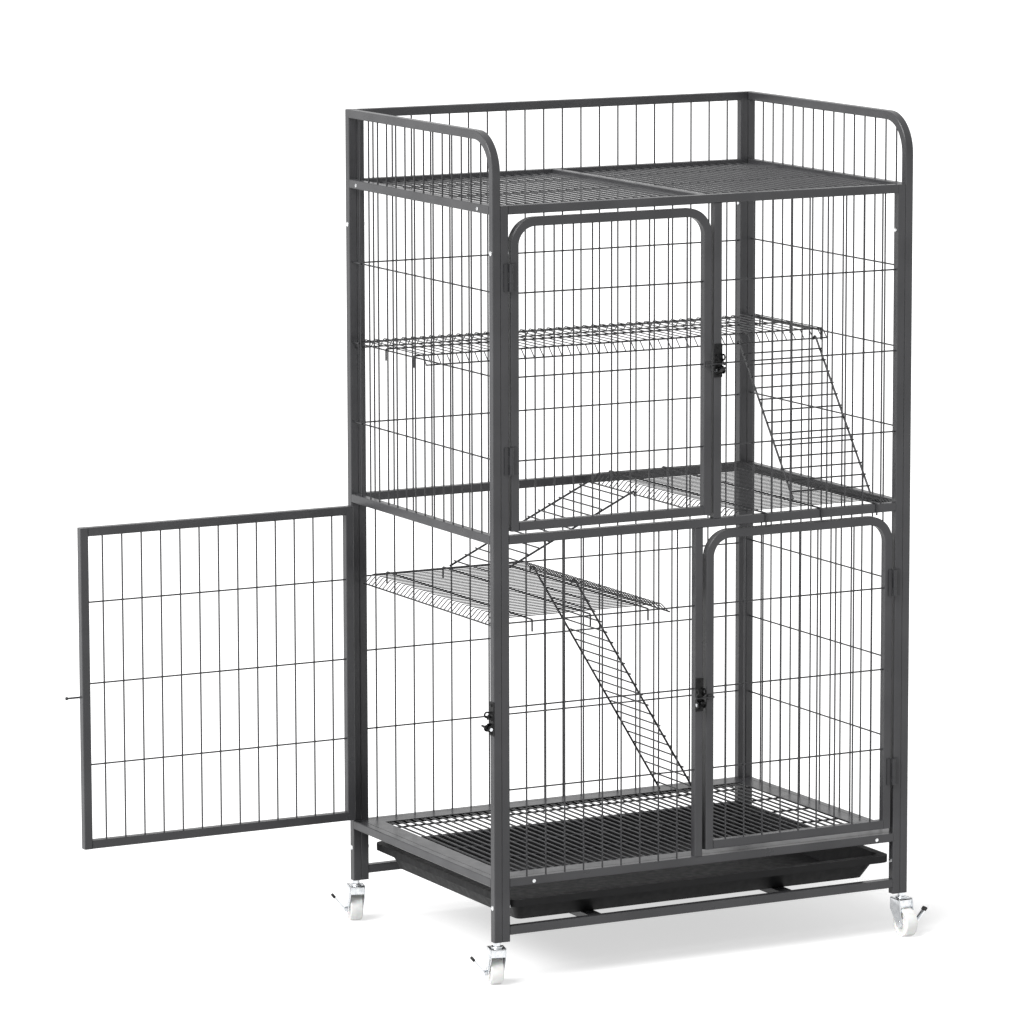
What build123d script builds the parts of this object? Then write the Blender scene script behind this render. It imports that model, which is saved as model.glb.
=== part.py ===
from build123d import *
import math
import os

os.makedirs("parts", exist_ok=True)

# Two-storey cat cage on casters. Millimetres, X across the front, Y to the back, Z up,
# origin on the floor under the middle of the footprint.

# Overall sizes and the undersides of the horizontal rails
CAGE_WIDTH = 880
CAGE_DEPTH = 600
FOOT = 82
LOW_RAIL = 94
FLOOR_RAIL = 183
MID_RAIL = 815
ROOF_RAIL = 1412
GUARD_RAIL = 1543
CAGE_TOP = 1559

# Stock
TUBE = 16
TUBE_EASE = 1.2
BEND_RADIUS = 67
DOOR_BEND_RADIUS = 42
WIRE = 3.0
WIRE_TIP = WIRE / 3**0.5
FINE_WIRE = 2.0
STIFFENER = 3.4
LIP_WIRE = 2.6
SHEET = 1.5

# Small round parts have this many flats, wheels twice as many
FLATS = 12

# Plan positions that follow from the stock
HALF_W = CAGE_WIDTH / 2
HALF_D = CAGE_DEPTH / 2
SIDE_X = HALF_W - TUBE / 2
POST_X = SIDE_X - TUBE
POST_Y = HALF_D - TUBE / 2
INNER_X = HALF_W - TUBE
INNER_Y = HALF_D - TUBE
BAY_X = INNER_X - TUBE
UPPER_MULLION_X = 24
LOWER_MULLION_X = -14

# Wire panels: uprights near the outer face of the tubes, cross wires just inside them
UPRIGHT_INSET = 2.5
CROSS_INSET = UPRIGHT_INSET + WIRE
UPPER_CROSS = (965, 1117, 1269)
SIDE_UPPER_CROSS = (969, 1120, 1272)
LOWER_CROSS = (362.5, 515, 670)
BACK_LOWER_CROSS = (374, 526, 670)
SIDE_LOWER_CROSS = (372, 524, 676)
SIDE_DOOR_CROSS = (365, 518, 671)
SIDE_PITCH = 37.9
BACK_PITCH = 40.4
FRONT_PITCH = 39.2

# Doors
UPPER_DOOR = (-403, 11, 838, 1405)
LOWER_DOOR = (1.5, 402, 210, 808)
SIDE_DOOR_Z = (206, 811)
SIDE_DOOR_WIDTH = 560
FRONT_HINGE_GAP = 2.5
SIDE_HINGE_Y = 282
HINGE_PROUD = 4.2
HINGE_R = 4.0
HINGE_PIN_R = 1.6
HINGE_HEIGHT = 50
HINGE_END = 15
HINGE_LEAF = 2.0
RUNNING = 0.05

# Slam latches and strikers
LATCH_WIDTH = 16.5
LATCH_LOW = -25
LATCH_HIGH = 37
LATCH_PLATE = 1.6
LATCH_LOBE_R = 6.5
LATCH_LOBE_OUT = 6.5
LATCH_EYE_UP = 12.5
LATCH_PIVOT_UP = -12
LATCH_PIN_R = 2.0
LATCH_EYE_R = 3.5
PAWL_HUB_R = 3.6
PAWL_TIP = (3.8, 12.5)
PAWL_TIP_R = 1.9
STRIKER = 5
STRIKER_OUT = 4.7
UPPER_STRIKER_Z = 1117
LOWER_STRIKER_Z = 498
SIDE_STRIKER_Z = 491
STRIKER_REACH = 26

# Shelves, floor and roof
FINE_PITCH = 15
FINE_COUNT = 37
LIP_DROP = 16.5
HOOK_DROP = 22
UPPER_SHELF_PITCH = 19.4
FLOOR_PITCH = 17.5
LEDGE = 34
ROOF_PITCH = 18.6

# Bolts; the nuts stay clear of the tray's rim as it slides past
BOLT_HEAD_R = 4.5
NUT_R = 4.6
NUT_HEIGHT = 2.4

# Ladders
LADDER_WIDTH = 168
RAIL_WIRE = 3.6
RUNG = 3
RUNG_PITCH = 25
LADDER_HOOK_R = 4.3
HOOK_BENDS = 5

# Casters
WHEEL_R = 26.5
WHEEL_WIDTH = 24
CASTER_TRAIL = 16
CASTER_TOP = 75
CASTER_STEM_R = 5
AXLE_R = 3.0
LEVER_PIVOT = (18.6, 21)
LEVER_PIN_R = 1.2
LEVER_ANGLE = 50
LEVER_LENGTH = 38


def save(name, *pieces):
    """Write one named part of the cage; pieces that only touch stay separate solids."""
    solids = [solid for piece in pieces for solid in piece.solids()]
    if len(solids) == 1:
        whole = Part(solids[0].wrapped)
    else:
        whole = Compound(solids)
    whole.label = name
    export_step(whole, f"parts/{name}.step")
    return whole


def disc(radius, flats=FLATS):
    """Outline of a small round part, its corners at the radius."""
    return RegularPolygon(radius, flats)


def bore(radius, flats=FLATS):
    """Round hole in an outline, its flats at the radius."""
    return RegularPolygon(radius, flats, major_radius=False, mode=Mode.SUBTRACT)


def tube(start, end):
    """Straight square tube between two points on its centre line."""
    run = Vector(*end) - Vector(*start)
    with BuildPart() as piece:
        with BuildSketch(Plane(origin=start, z_dir=run)) as section:
            Rectangle(TUBE, TUBE)
            chamfer(section.vertices(), TUBE_EASE)
        extrude(amount=run.length)
    return piece.part


def bent_tube(plane, points, radius):
    """Square tube bent round the corners of a path drawn in an upright plane."""
    with BuildPart() as piece:
        with BuildLine(plane) as path:
            FilletPolyline(*points, radius=radius)
        foot = path.line @ 0
        with BuildSketch(Plane(origin=foot, z_dir=path.line % 0)) as section:
            Rectangle(TUBE, TUBE)
            chamfer(section.vertices(), TUBE_EASE)
        sweep(path=path.line)
    return piece.part


def upright_wires(points, bottom, top):
    """Vertical wires through the given plan points."""
    with BuildPart() as wires:
        with BuildSketch(Plane.XY.offset(bottom)):
            with Locations(*points):
                Rectangle(WIRE, WIRE)
        extrude(amount=top - bottom)
    return wires.part


def wires_across(heights, left, right, depth):
    """Horizontal wires along X at one depth."""
    with BuildPart() as wires:
        with BuildSketch(Plane.YZ.offset(left)):
            with Locations(*[(depth, height) for height in heights]):
                RegularPolygon(WIRE / 2, 6, major_radius=False, rotation=30)
        extrude(amount=right - left)
    return wires.part


def wires_along(heights, side, half_length):
    """Horizontal wires along Y on one side of the cage."""
    with BuildPart() as wires:
        with BuildSketch(Plane.XZ):
            with Locations(*[(side, height) for height in heights]):
                RegularPolygon(WIRE / 2, 6, major_radius=False, rotation=30)
        extrude(amount=half_length, both=True)
    return wires.part


def spaced(first, pitch, count):
    """Evenly spaced positions."""
    return [first + pitch * index for index in range(count)]


def centred(pitch, count):
    """Evenly spaced positions about zero."""
    return spaced(-pitch * (count - 1) / 2, pitch, count)


def bent_strip(points, width):
    """Outline of a flat strip of even width that follows a polyline, with mitred corners."""
    path = [Vector(*point) for point in points]
    runs = [(b - a).normalized() for a, b in zip(path, path[1:])]
    sides = [Vector(-run.Y, run.X) for run in runs]
    left, right = [], []
    for index, point in enumerate(path):
        before = sides[max(index - 1, 0)]
        after = sides[min(index, len(sides) - 1)]
        mitre = (before + after) * (width / 2 / (1 + before.dot(after)))
        left.append(point + mitre)
        right.append(point - mitre)
    return [(corner.X, corner.Y) for corner in left + right[::-1]]


def strips(planes, points, width, thickness):
    """Square-section wires bent to one path, one in the middle of each given plane."""
    with BuildPart() as wires:
        with BuildSketch(*planes):
            Polygon(*bent_strip(points, width), align=None)
        extrude(amount=thickness / 2, both=True)
    return wires.part


def under_bend(straight_level, radius, past):
    """Height of the underside of a bent tube, past the start of its bend by some distance."""
    inner = radius - TUBE / 2
    return straight_level - inner + math.sqrt(inner**2 - max(past + WIRE_TIP, 0)**2)


# Side frames: a bent tube runs up the front, over the guard and back to a mitred corner,
# where the back post meets it. Three rails tie the posts together.

def side_frame(side):
    """Tubes of one side frame; side is -1 for left and 1 for right."""
    x = side * SIDE_X
    top = CAGE_TOP - TUBE / 2
    mitre = Plane(origin=(x, POST_Y, top), z_dir=(0, 1, -1))
    with BuildPart() as arch:
        add(bent_tube(Plane.YZ.offset(x), [(-POST_Y, FOOT), (-POST_Y, top), (HALF_D, top)], BEND_RADIUS))
        with BuildSketch(Plane.YZ.offset(x)):
            Polygon((INNER_Y, GUARD_RAIL), (HALF_D, GUARD_RAIL), (HALF_D, CAGE_TOP), align=None)
        extrude(amount=TUBE / 2, both=True, mode=Mode.SUBTRACT)
    with BuildPart() as back_post:
        add(tube((x, POST_Y, FOOT), (x, POST_Y, CAGE_TOP)))
        split(bisect_by=mitre, keep=Keep.TOP)
    pieces = [arch.part, back_post.part]
    for level in (FLOOR_RAIL, MID_RAIL, ROOF_RAIL):
        z = level + TUBE / 2
        pieces.append(tube((x, -INNER_Y, z), (x, INNER_Y, z)))
    return pieces


save("left_side_frame", *side_frame(-1))
save("right_side_frame", *side_frame(1))


# Front frame: two posts up to the roof, four rails, and one mullion in each storey.

front_tubes = [tube((side * POST_X, -POST_Y, FOOT), (side * POST_X, -POST_Y, ROOF_RAIL + TUBE))
               for side in (-1, 1)]
for level in (LOW_RAIL, FLOOR_RAIL, MID_RAIL, ROOF_RAIL):
    rail_z = level + TUBE / 2
    front_tubes.append(tube((-BAY_X, -POST_Y, rail_z), (BAY_X, -POST_Y, rail_z)))
front_tubes.append(tube((UPPER_MULLION_X, -POST_Y, MID_RAIL + TUBE), (UPPER_MULLION_X, -POST_Y, ROOF_RAIL)))
front_tubes.append(tube((LOWER_MULLION_X, -POST_Y, FLOOR_RAIL + TUBE), (LOWER_MULLION_X, -POST_Y, MID_RAIL)))
save("front_frame", *front_tubes)

# Back frame: full-height posts and five rails, the top one closing the guard.

back_tubes = [tube((side * POST_X, POST_Y, FOOT), (side * POST_X, POST_Y, CAGE_TOP)) for side in (-1, 1)]
for level in (LOW_RAIL, FLOOR_RAIL, MID_RAIL, ROOF_RAIL, GUARD_RAIL):
    rail_z = level + TUBE / 2
    back_tubes.append(tube((-BAY_X, POST_Y, rail_z), (BAY_X, POST_Y, rail_z)))
save("back_frame", *back_tubes)


# Wire infill of the fixed panels

def side_wires(side, lower):
    """Infill of one side: guard, upper storey and, on the right, the lower storey."""
    upright_x = side * (HALF_W - UPRIGHT_INSET - WIRE / 2)
    cross_x = side * (HALF_W - CROSS_INSET - WIRE / 2)
    depths = centred(SIDE_PITCH, 14)
    points = [(upright_x, y) for y in depths]
    past_bend = -POST_Y + BEND_RADIUS - depths[0]
    pieces = [
        upright_wires(points[1:], ROOF_RAIL + TUBE, GUARD_RAIL),
        upright_wires(points[:1], ROOF_RAIL + TUBE, under_bend(GUARD_RAIL, BEND_RADIUS, past_bend)),
        upright_wires(points, MID_RAIL + TUBE, ROOF_RAIL),
        wires_along(SIDE_UPPER_CROSS, cross_x, INNER_Y),
    ]
    if lower:
        pieces.append(upright_wires(points, FLOOR_RAIL + TUBE, MID_RAIL))
        pieces.append(wires_along(SIDE_LOWER_CROSS, cross_x, INNER_Y))
    return pieces


save("left_side_wires", *side_wires(-1, False))
save("right_side_wires", *side_wires(1, True))

back_upright_y = HALF_D - UPRIGHT_INSET - WIRE / 2
back_cross_y = HALF_D - CROSS_INSET - WIRE / 2
back_points = [(x, back_upright_y) for x in centred(BACK_PITCH, 20)]
save(
    "back_wires",
    upright_wires(back_points, ROOF_RAIL + TUBE, GUARD_RAIL),
    upright_wires(back_points, MID_RAIL + TUBE, ROOF_RAIL),
    upright_wires(back_points, FLOOR_RAIL + TUBE, MID_RAIL),
    wires_across(UPPER_CROSS, -BAY_X, BAY_X, back_cross_y),
    wires_across(BACK_LOWER_CROSS, -BAY_X, BAY_X, back_cross_y),
)

FRONT_UPRIGHT_Y = -back_upright_y
FRONT_CROSS_Y = -back_cross_y


def front_infill(left, right, bottom, top, heights):
    """Nine uprights and their cross wires between two front tubes."""
    first = (left + right) / 2 - FRONT_PITCH * 4
    points = [(x, FRONT_UPRIGHT_Y) for x in spaced(first, FRONT_PITCH, 9)]
    return [
        upright_wires(points, bottom, top),
        wires_across(heights, left, right, FRONT_CROSS_Y),
    ]


save(
    "front_upper_wires",
    *front_infill(UPPER_MULLION_X + TUBE / 2, BAY_X, MID_RAIL + TUBE, ROOF_RAIL, UPPER_CROSS),
)
save(
    "front_lower_wires",
    *front_infill(-BAY_X, LOWER_MULLION_X - TUBE / 2, FLOOR_RAIL + TUBE, MID_RAIL, LOWER_CROSS),
)


# Barrel hinges. Each stands just outside the tubes over the gap between post and door.

def hinge_leaf(axis, toward, inward, bottom, knuckles, bore):
    """Half a hinge: a leaf on the tube face with the knuckles at the given heights."""
    centre = Vector(*axis)
    along, deep = Vector(*toward), Vector(*inward)

    def strip(near):
        """Leaf outline from a distance off the axis to its far edge."""
        far = 12.5
        corners = [(near, HINGE_PROUD - HINGE_LEAF), (far, HINGE_PROUD - HINGE_LEAF),
                   (far, HINGE_PROUD), (near, HINGE_PROUD)]
        points = [centre + along * out + deep * back for out, back in corners]
        return [(point.X, point.Y) for point in points]

    with BuildPart() as half:
        with BuildSketch(Plane.XY.offset(bottom)):
            Polygon(*strip(4.0), align=None)
        extrude(amount=HINGE_HEIGHT)
        for low, high in knuckles:
            with BuildSketch(Plane.XY.offset(bottom + low)):
                Polygon(*strip(0.0), align=None)
                with Locations((centre.X, centre.Y)):
                    disc(HINGE_R)
            extrude(amount=high - low)
        if bore:
            with BuildSketch(Plane.XY.offset(bottom)):
                with Locations((centre.X, centre.Y)):
                    disc((HINGE_PIN_R + RUNNING) / math.cos(math.pi / FLATS))
            extrude(amount=HINGE_HEIGHT, mode=Mode.SUBTRACT)
        else:
            with BuildSketch(Plane.XY.offset(bottom)):
                with Locations((centre.X, centre.Y)):
                    disc(HINGE_PIN_R)
            extrude(amount=HINGE_HEIGHT)
    return half.part


def frame_leaf(axis, toward, inward, bottom):
    """Fixed half with the two end knuckles and the pin."""
    ends = [(0, HINGE_END), (HINGE_HEIGHT - HINGE_END, HINGE_HEIGHT)]
    return hinge_leaf(axis, toward, inward, bottom, ends, False)


def door_leaf(axis, toward, inward, bottom):
    """Moving half with the middle knuckle."""
    middle = [(HINGE_END + 0.3, HINGE_HEIGHT - HINGE_END - 0.3)]
    return hinge_leaf(axis, toward, inward, bottom, middle, True)


UPPER_HINGE = (-BAY_X + FRONT_HINGE_GAP, -HALF_D - HINGE_PROUD)
LOWER_HINGE = (BAY_X - FRONT_HINGE_GAP - 0.5, -HALF_D - HINGE_PROUD)
SIDE_HINGE = (-HALF_W - HINGE_PROUD, SIDE_HINGE_Y)
UPPER_HINGE_Z = (942, 1274)
LOWER_HINGE_Z = (294, 655)
SIDE_HINGE_Z = (292, 674)

fixed_leaves = []
for bottom in UPPER_HINGE_Z:
    fixed_leaves.append(frame_leaf(UPPER_HINGE, (-1, 0), (0, 1), bottom))
for bottom in LOWER_HINGE_Z:
    fixed_leaves.append(frame_leaf(LOWER_HINGE, (1, 0), (0, 1), bottom))
for bottom in SIDE_HINGE_Z:
    fixed_leaves.append(frame_leaf(SIDE_HINGE, (0, 1), (1, 0), bottom))
save("frame_hinge_leaves", *fixed_leaves)


# Front doors: one tube bent into an upside-down U, a bottom rail, nine uprights.

def front_door(name, box, heights, hinge, toward, hinge_z):
    """Frame, wires and hinge leaves of a front door."""
    left, right, bottom, top = box
    inset = TUBE / 2
    hoop = bent_tube(
        Plane.XZ.offset(POST_Y),
        [(left + inset, bottom), (left + inset, top - inset), (right - inset, top - inset), (right - inset, bottom)],
        DOOR_BEND_RADIUS,
    )
    rail = tube((left + TUBE, -POST_Y, bottom + inset), (right - TUBE, -POST_Y, bottom + inset))
    save(f"{name}_frame", hoop, rail)
    first = (left + right) / 2 - FRONT_PITCH * 4
    points = [(x, FRONT_UPRIGHT_Y) for x in spaced(first, FRONT_PITCH, 9)]
    past_bend = left + inset + DOOR_BEND_RADIUS - first
    save(
        f"{name}_wires",
        upright_wires(points[1:-1], bottom + TUBE, top - TUBE),
        upright_wires([points[0], points[-1]], bottom + TUBE, under_bend(top - TUBE, DOOR_BEND_RADIUS, past_bend)),
        wires_across(heights, left + TUBE, right - TUBE, FRONT_CROSS_Y),
    )
    leaves = [door_leaf(hinge, toward, (0, 1), height) for height in hinge_z]
    save(f"{name}_hinge_leaves", *leaves)


front_door("upper_door", UPPER_DOOR, UPPER_CROSS, UPPER_HINGE, (1, 0), UPPER_HINGE_Z)
front_door("lower_door", LOWER_DOOR, LOWER_CROSS, LOWER_HINGE, (-1, 0), LOWER_HINGE_Z)

# Side door, standing open at a right angle to the left side, square cornered.
# Closed, its hinge edge is 2 mm short of the axis; open, that edge lies left of it.

door_edge_x = SIDE_HINGE[0] - 2
door_free_x = door_edge_x - SIDE_DOOR_WIDTH
door_outer_y = SIDE_HINGE_Y - HINGE_PROUD
door_mid_y = door_outer_y - TUBE / 2
door_inner_y = door_outer_y - TUBE
low_z, high_z = SIDE_DOOR_Z
save(
    "side_door_frame",
    tube((door_edge_x - TUBE / 2, door_mid_y, low_z), (door_edge_x - TUBE / 2, door_mid_y, high_z)),
    tube((door_free_x + TUBE / 2, door_mid_y, low_z), (door_free_x + TUBE / 2, door_mid_y, high_z)),
    tube((door_free_x + TUBE, door_mid_y, low_z + TUBE / 2), (door_edge_x - TUBE, door_mid_y, low_z + TUBE / 2)),
    tube((door_free_x + TUBE, door_mid_y, high_z - TUBE / 2), (door_edge_x - TUBE, door_mid_y, high_z - TUBE / 2)),
)
first_x = (door_edge_x + door_free_x) / 2 - FRONT_PITCH * 6
side_points = [(x, door_inner_y + UPRIGHT_INSET + WIRE / 2 - 1) for x in spaced(first_x, FRONT_PITCH, 13)]
save(
    "side_door_wires",
    upright_wires(side_points, low_z + TUBE, high_z - TUBE),
    wires_across(SIDE_DOOR_CROSS, door_free_x + TUBE, door_edge_x - TUBE, door_inner_y + CROSS_INSET + WIRE / 2 - 1),
)
save("side_door_hinge_leaves", *[door_leaf(SIDE_HINGE, (-1, 0), (0, -1), height) for height in SIDE_HINGE_Z])


# Slam latches. A folded bracket stands on the post; its cheeks have an eye above, a notch
# for the striker and the pawl's pivot below. The pawls rest tipped forward, let go.

UPPER_LATCH = Plane(origin=(UPPER_MULLION_X, -HALF_D, UPPER_STRIKER_Z), x_dir=(0, -1, 0), z_dir=(-1, 0, 0))
LOWER_LATCH = Plane(origin=(LOWER_MULLION_X, -HALF_D, LOWER_STRIKER_Z), x_dir=(0, -1, 0), z_dir=(-1, 0, 0))
SIDE_LATCH = Plane(origin=(-HALF_W, -POST_Y, SIDE_STRIKER_Z), x_dir=(-1, 0, 0), z_dir=(0, 1, 0))
LATCHES = (UPPER_LATCH, LOWER_LATCH, SIDE_LATCH)


def latch_bracket(face):
    """Base plate and two cheeks on a post face; face has X outward and Y up."""
    with BuildPart() as bracket:
        with BuildSketch(face):
            with Locations((LATCH_LOBE_OUT / 2, (LATCH_EYE_UP + LATCH_PIVOT_UP) / 2)):
                Rectangle(LATCH_LOBE_OUT, LATCH_EYE_UP - LATCH_PIVOT_UP + 9)
            with Locations((LATCH_LOBE_OUT, LATCH_EYE_UP), (LATCH_LOBE_OUT, LATCH_PIVOT_UP)):
                disc(LATCH_LOBE_R)
            with Locations((LATCH_PLATE + 12, 0)):
                Rectangle(24, 7, mode=Mode.SUBTRACT)
            with Locations((LATCH_LOBE_OUT, LATCH_EYE_UP)):
                bore(LATCH_EYE_R)
            with Locations((LATCH_LOBE_OUT, LATCH_PIVOT_UP)):
                bore(LATCH_PIN_R + RUNNING)
        extrude(amount=LATCH_WIDTH / 2, both=True)
        with BuildSketch(face):
            with Locations((LATCH_PLATE + 10, 0)):
                Rectangle(20, 50)
        extrude(amount=LATCH_WIDTH / 2 - SHEET, both=True, mode=Mode.SUBTRACT)
        with BuildSketch(face):
            with Locations((LATCH_PLATE / 2, (LATCH_LOW + LATCH_HIGH) / 2)):
                Rectangle(LATCH_PLATE, LATCH_HIGH - LATCH_LOW)
        extrude(amount=LATCH_WIDTH / 2, both=True)
    return bracket.part


def pivot_plane(face, forward):
    """Plane on the pawl's pivot, tipped forward by an angle from locked."""
    origin = face.origin + face.x_dir * LATCH_LOBE_OUT + Vector(0, 0, LATCH_PIVOT_UP)
    angle = math.radians(forward)
    tipped = face.x_dir * math.cos(angle) - Vector(0, 0, 1) * math.sin(angle)
    return Plane(origin=origin, x_dir=tipped, z_dir=face.z_dir)


PAWL_RELEASE = 45


def latch_pawl(face):
    """Pawl between the cheeks: hub on the pin and a finger that closes the notch."""
    with BuildPart() as pawl:
        with BuildSketch(pivot_plane(face, PAWL_RELEASE)) as side:
            disc(PAWL_HUB_R)
            with Locations(PAWL_TIP):
                disc(PAWL_TIP_R)
            make_hull(side.edges())
            bore(LATCH_PIN_R + RUNNING)
        extrude(amount=5, both=True)
    return pawl.part


def latch_pin(face):
    """Headed pin through both cheeks."""
    with BuildPart() as pin:
        with BuildSketch(pivot_plane(face, 0)):
            disc(LATCH_PIN_R)
        extrude(amount=LATCH_WIDTH / 2 + 1, both=True)
        for side in (-1, 1):
            with BuildSketch(pivot_plane(face, 0).offset(side * LATCH_WIDTH / 2)):
                disc(3.2)
            extrude(amount=side * 1.0)
    return pin.part


def latch_screws(face):
    """Two pan-head screws through the ends of the base plate."""
    with BuildPart() as screws:
        top = Plane(origin=face.origin + face.x_dir * LATCH_PLATE, x_dir=face.z_dir * -1, z_dir=face.x_dir)
        with BuildSketch(top):
            with Locations((0, LATCH_LOW + 4), (0, LATCH_HIGH - 6)):
                RegularPolygon(3.4, 8)
        extrude(amount=1.6, taper=20)
    return screws.part


save("latch_brackets", *[latch_bracket(face) for face in LATCHES])
save("latch_pins", *[latch_pin(face) for face in LATCHES])
save("latch_screws", *[latch_screws(face) for face in LATCHES])
save("upper_latch_pawl", latch_pawl(UPPER_LATCH))
save("lower_latch_pawl", latch_pawl(LOWER_LATCH))
save("side_latch_pawl", latch_pawl(SIDE_LATCH))


def striker(name, edge, toward, face_y, outward, height):
    """Rod on a small pad at a door's free edge, reaching into the latch."""
    with BuildPart() as rod:
        pad_x = edge - toward * TUBE / 2
        with BuildSketch(Plane.XY.offset(height - 5)):
            with Locations((pad_x, face_y + outward * 1.3)):
                Rectangle(TUBE - 4, 2.6)
        extrude(amount=10)
        start = edge - toward * (TUBE - 2)
        with BuildSketch(Plane.YZ.offset(start)):
            with Locations((face_y + outward * STRIKER_OUT, height)):
                RegularPolygon(STRIKER / 2, 6, major_radius=False, rotation=30)
        extrude(amount=edge + toward * STRIKER_REACH - start)
    save(name, rod.part)


striker("upper_door_striker", UPPER_DOOR[1], 1, -HALF_D, -1, UPPER_STRIKER_Z)
striker("lower_door_striker", LOWER_DOOR[0], -1, -HALF_D, -1, LOWER_STRIKER_Z)
striker("side_door_striker", door_free_x, -1, door_outer_y, 1, SIDE_STRIKER_Z)


# Shelves: fine wires with a lip turned down at both ends, a lip wire under each lip, and
# stiffeners beneath whose ends hook over the wires or rails that carry the shelf.

DIAGONAL = math.sqrt(0.5)


def lipped(left, right, level):
    """Path of a fine wire: up one lip, across, down the other lip."""
    drop = LIP_DROP - LIP_WIRE / 2 * DIAGONAL
    return [(left - drop, level - drop), (left, level), (right, level), (right + drop, level - drop)]


def lip_wires(planes, left, right, level, half_length):
    """Square wires standing on edge under both lips."""
    with BuildPart() as wires:
        with BuildSketch(*planes):
            with Locations((left - LIP_DROP, level - LIP_DROP), (right + LIP_DROP, level - LIP_DROP)):
                Rectangle(LIP_WIRE, LIP_WIRE, rotation=45)
        extrude(amount=half_length, both=True)
    return wires.part


def hooked(half_span, level):
    """Path of a stiffener with both ends hooked down."""
    return [(-half_span, level - HOOK_DROP), (-half_span, level), (half_span, level), (half_span, level - HOOK_DROP)]


def side_shelf(name, left, right, carried_at, hook_span, stiffener_x):
    """Half-width shelf with wires along X and stiffeners along Y."""
    level = carried_at + STIFFENER + FINE_WIRE / 2
    across = [Plane.XZ.offset(y) for y in centred(FINE_PITCH, FINE_COUNT)]
    half_length = FINE_PITCH * (FINE_COUNT - 1) / 2 + 5
    along = [Plane.YZ.offset(x) for x in stiffener_x]
    save(
        name,
        strips(across, lipped(left, right, level), FINE_WIRE, FINE_WIRE),
        lip_wires([Plane.XZ], left, right, level, half_length),
        strips(along, hooked(hook_span, carried_at + STIFFENER / 2), STIFFENER, STIFFENER),
    )
    return level


LOWER_SHELF = (-403, -79)
MIDDLE_SHELF = (83, 404.5)
lower_level = side_shelf(
    "lower_shelf", *LOWER_SHELF, LOWER_CROSS[2] + WIRE_TIP,
    back_cross_y + WIRE / 2 + STIFFENER / 2, (-360, -240, -120),
)
middle_level = side_shelf(
    "middle_shelf", *MIDDLE_SHELF, MID_RAIL + TUBE, HALF_D + STIFFENER / 2, (126, 245, 365),
)

UPPER_SHELF = (5, 265)
upper_carried = SIDE_UPPER_CROSS[1] + WIRE_TIP
upper_level = upper_carried + STIFFENER + FINE_WIRE / 2
fine_x = centred(UPPER_SHELF_PITCH, 44) + [-428, 428]
save(
    "upper_shelf",
    strips([Plane.YZ.offset(x) for x in fine_x], lipped(*UPPER_SHELF, upper_level), FINE_WIRE, FINE_WIRE),
    lip_wires([Plane.YZ], *UPPER_SHELF, upper_level, 429),
    strips(
        [Plane.XZ.offset(-y) for y in (24, 140, 256)],
        hooked(HALF_W - CROSS_INSET + STIFFENER / 2, upper_carried + STIFFENER / 2),
        STIFFENER, STIFFENER,
    ),
)


# Floor: a mitred angle ledge inside the floor rails and a wire grid welded under it.

ledge_top = FLOOR_RAIL + TUBE


def ledge_side(plane, half_length):
    """One length of angle, mitred at both ends; plane X points inward from the rail."""
    with BuildPart() as angle:
        with BuildSketch(plane):
            Polygon((0, 0), (LEDGE, 0), (LEDGE, -SHEET), (SHEET, -SHEET), (SHEET, -TUBE), (0, -TUBE), align=None)
        extrude(amount=half_length, both=True)
        for end in (-1, 1):
            corner = plane.origin + plane.z_dir * end * half_length
            outward = plane.z_dir * end + plane.x_dir
            split(bisect_by=Plane(origin=corner, z_dir=outward), keep=Keep.BOTTOM)
    return angle.part


save(
    "floor_ledge",
    ledge_side(Plane(origin=(0, -INNER_Y, ledge_top), x_dir=(0, 1, 0), z_dir=(1, 0, 0)), INNER_X),
    ledge_side(Plane(origin=(0, INNER_Y, ledge_top), x_dir=(0, -1, 0), z_dir=(-1, 0, 0)), INNER_X),
    ledge_side(Plane(origin=(-INNER_X, 0, ledge_top), x_dir=(1, 0, 0), z_dir=(0, -1, 0)), INNER_Y),
    ledge_side(Plane(origin=(INNER_X, 0, ledge_top), x_dir=(-1, 0, 0), z_dir=(0, 1, 0)), INNER_Y),
)


def square_wires(plane, points, length, size):
    """Straight square wires standing on a plane at the given points."""
    with BuildPart() as wires:
        with BuildSketch(plane):
            with Locations(*points):
                Rectangle(size, size)
        extrude(amount=length)
    return wires.part


grid_z = ledge_top - SHEET - WIRE / 2
grid_half_y = INNER_Y - LEDGE + 10
save(
    "floor_grid",
    square_wires(Plane.XZ.offset(-grid_half_y), [(x, grid_z) for x in centred(FLOOR_PITCH, 46)], 2 * grid_half_y, WIRE),
    square_wires(Plane.YZ.offset(-400), [(y, grid_z - WIRE) for y in centred(110, 5)], 800, WIRE),
)


# Roof: a centre bar and two wire panels that drop in on either side of it.

roof_z = ROOF_RAIL + TUBE / 2
save("roof_centre_bar", tube((0, -INNER_Y, roof_z), (0, INNER_Y, roof_z)))


def roof_panel(side):
    """Wires of one roof panel; side is -1 for left and 1 for right."""
    xs = [side * x for x in spaced(20, ROOF_PITCH, 22)]
    near, far = sorted((side * TUBE / 2, side * INNER_X))
    return [
        square_wires(Plane.XZ.offset(-INNER_Y), [(x, roof_z) for x in xs], 2 * INNER_Y, WIRE),
        square_wires(Plane.YZ.offset(near), [(y, roof_z - WIRE) for y in centred(190, 3)], far - near, WIRE),
    ]


save("roof_panel_left", *roof_panel(-1))
save("roof_panel_right", *roof_panel(1))


# Tray and the two runners that carry it

def runner(centre):
    """Channel, open below, between the front and back low rails."""
    with BuildPart() as channel:
        with BuildSketch(Plane.XZ):
            with Locations((centre, LOW_RAIL + TUBE - 6)):
                Rectangle(27, 12)
            with Locations((centre, LOW_RAIL + TUBE - 6 - SHEET)):
                Rectangle(27 - 2 * SHEET, 12, mode=Mode.SUBTRACT)
        extrude(amount=INNER_Y, both=True)
    return channel.part


save("tray_runners", runner(-225), runner(182))

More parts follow.
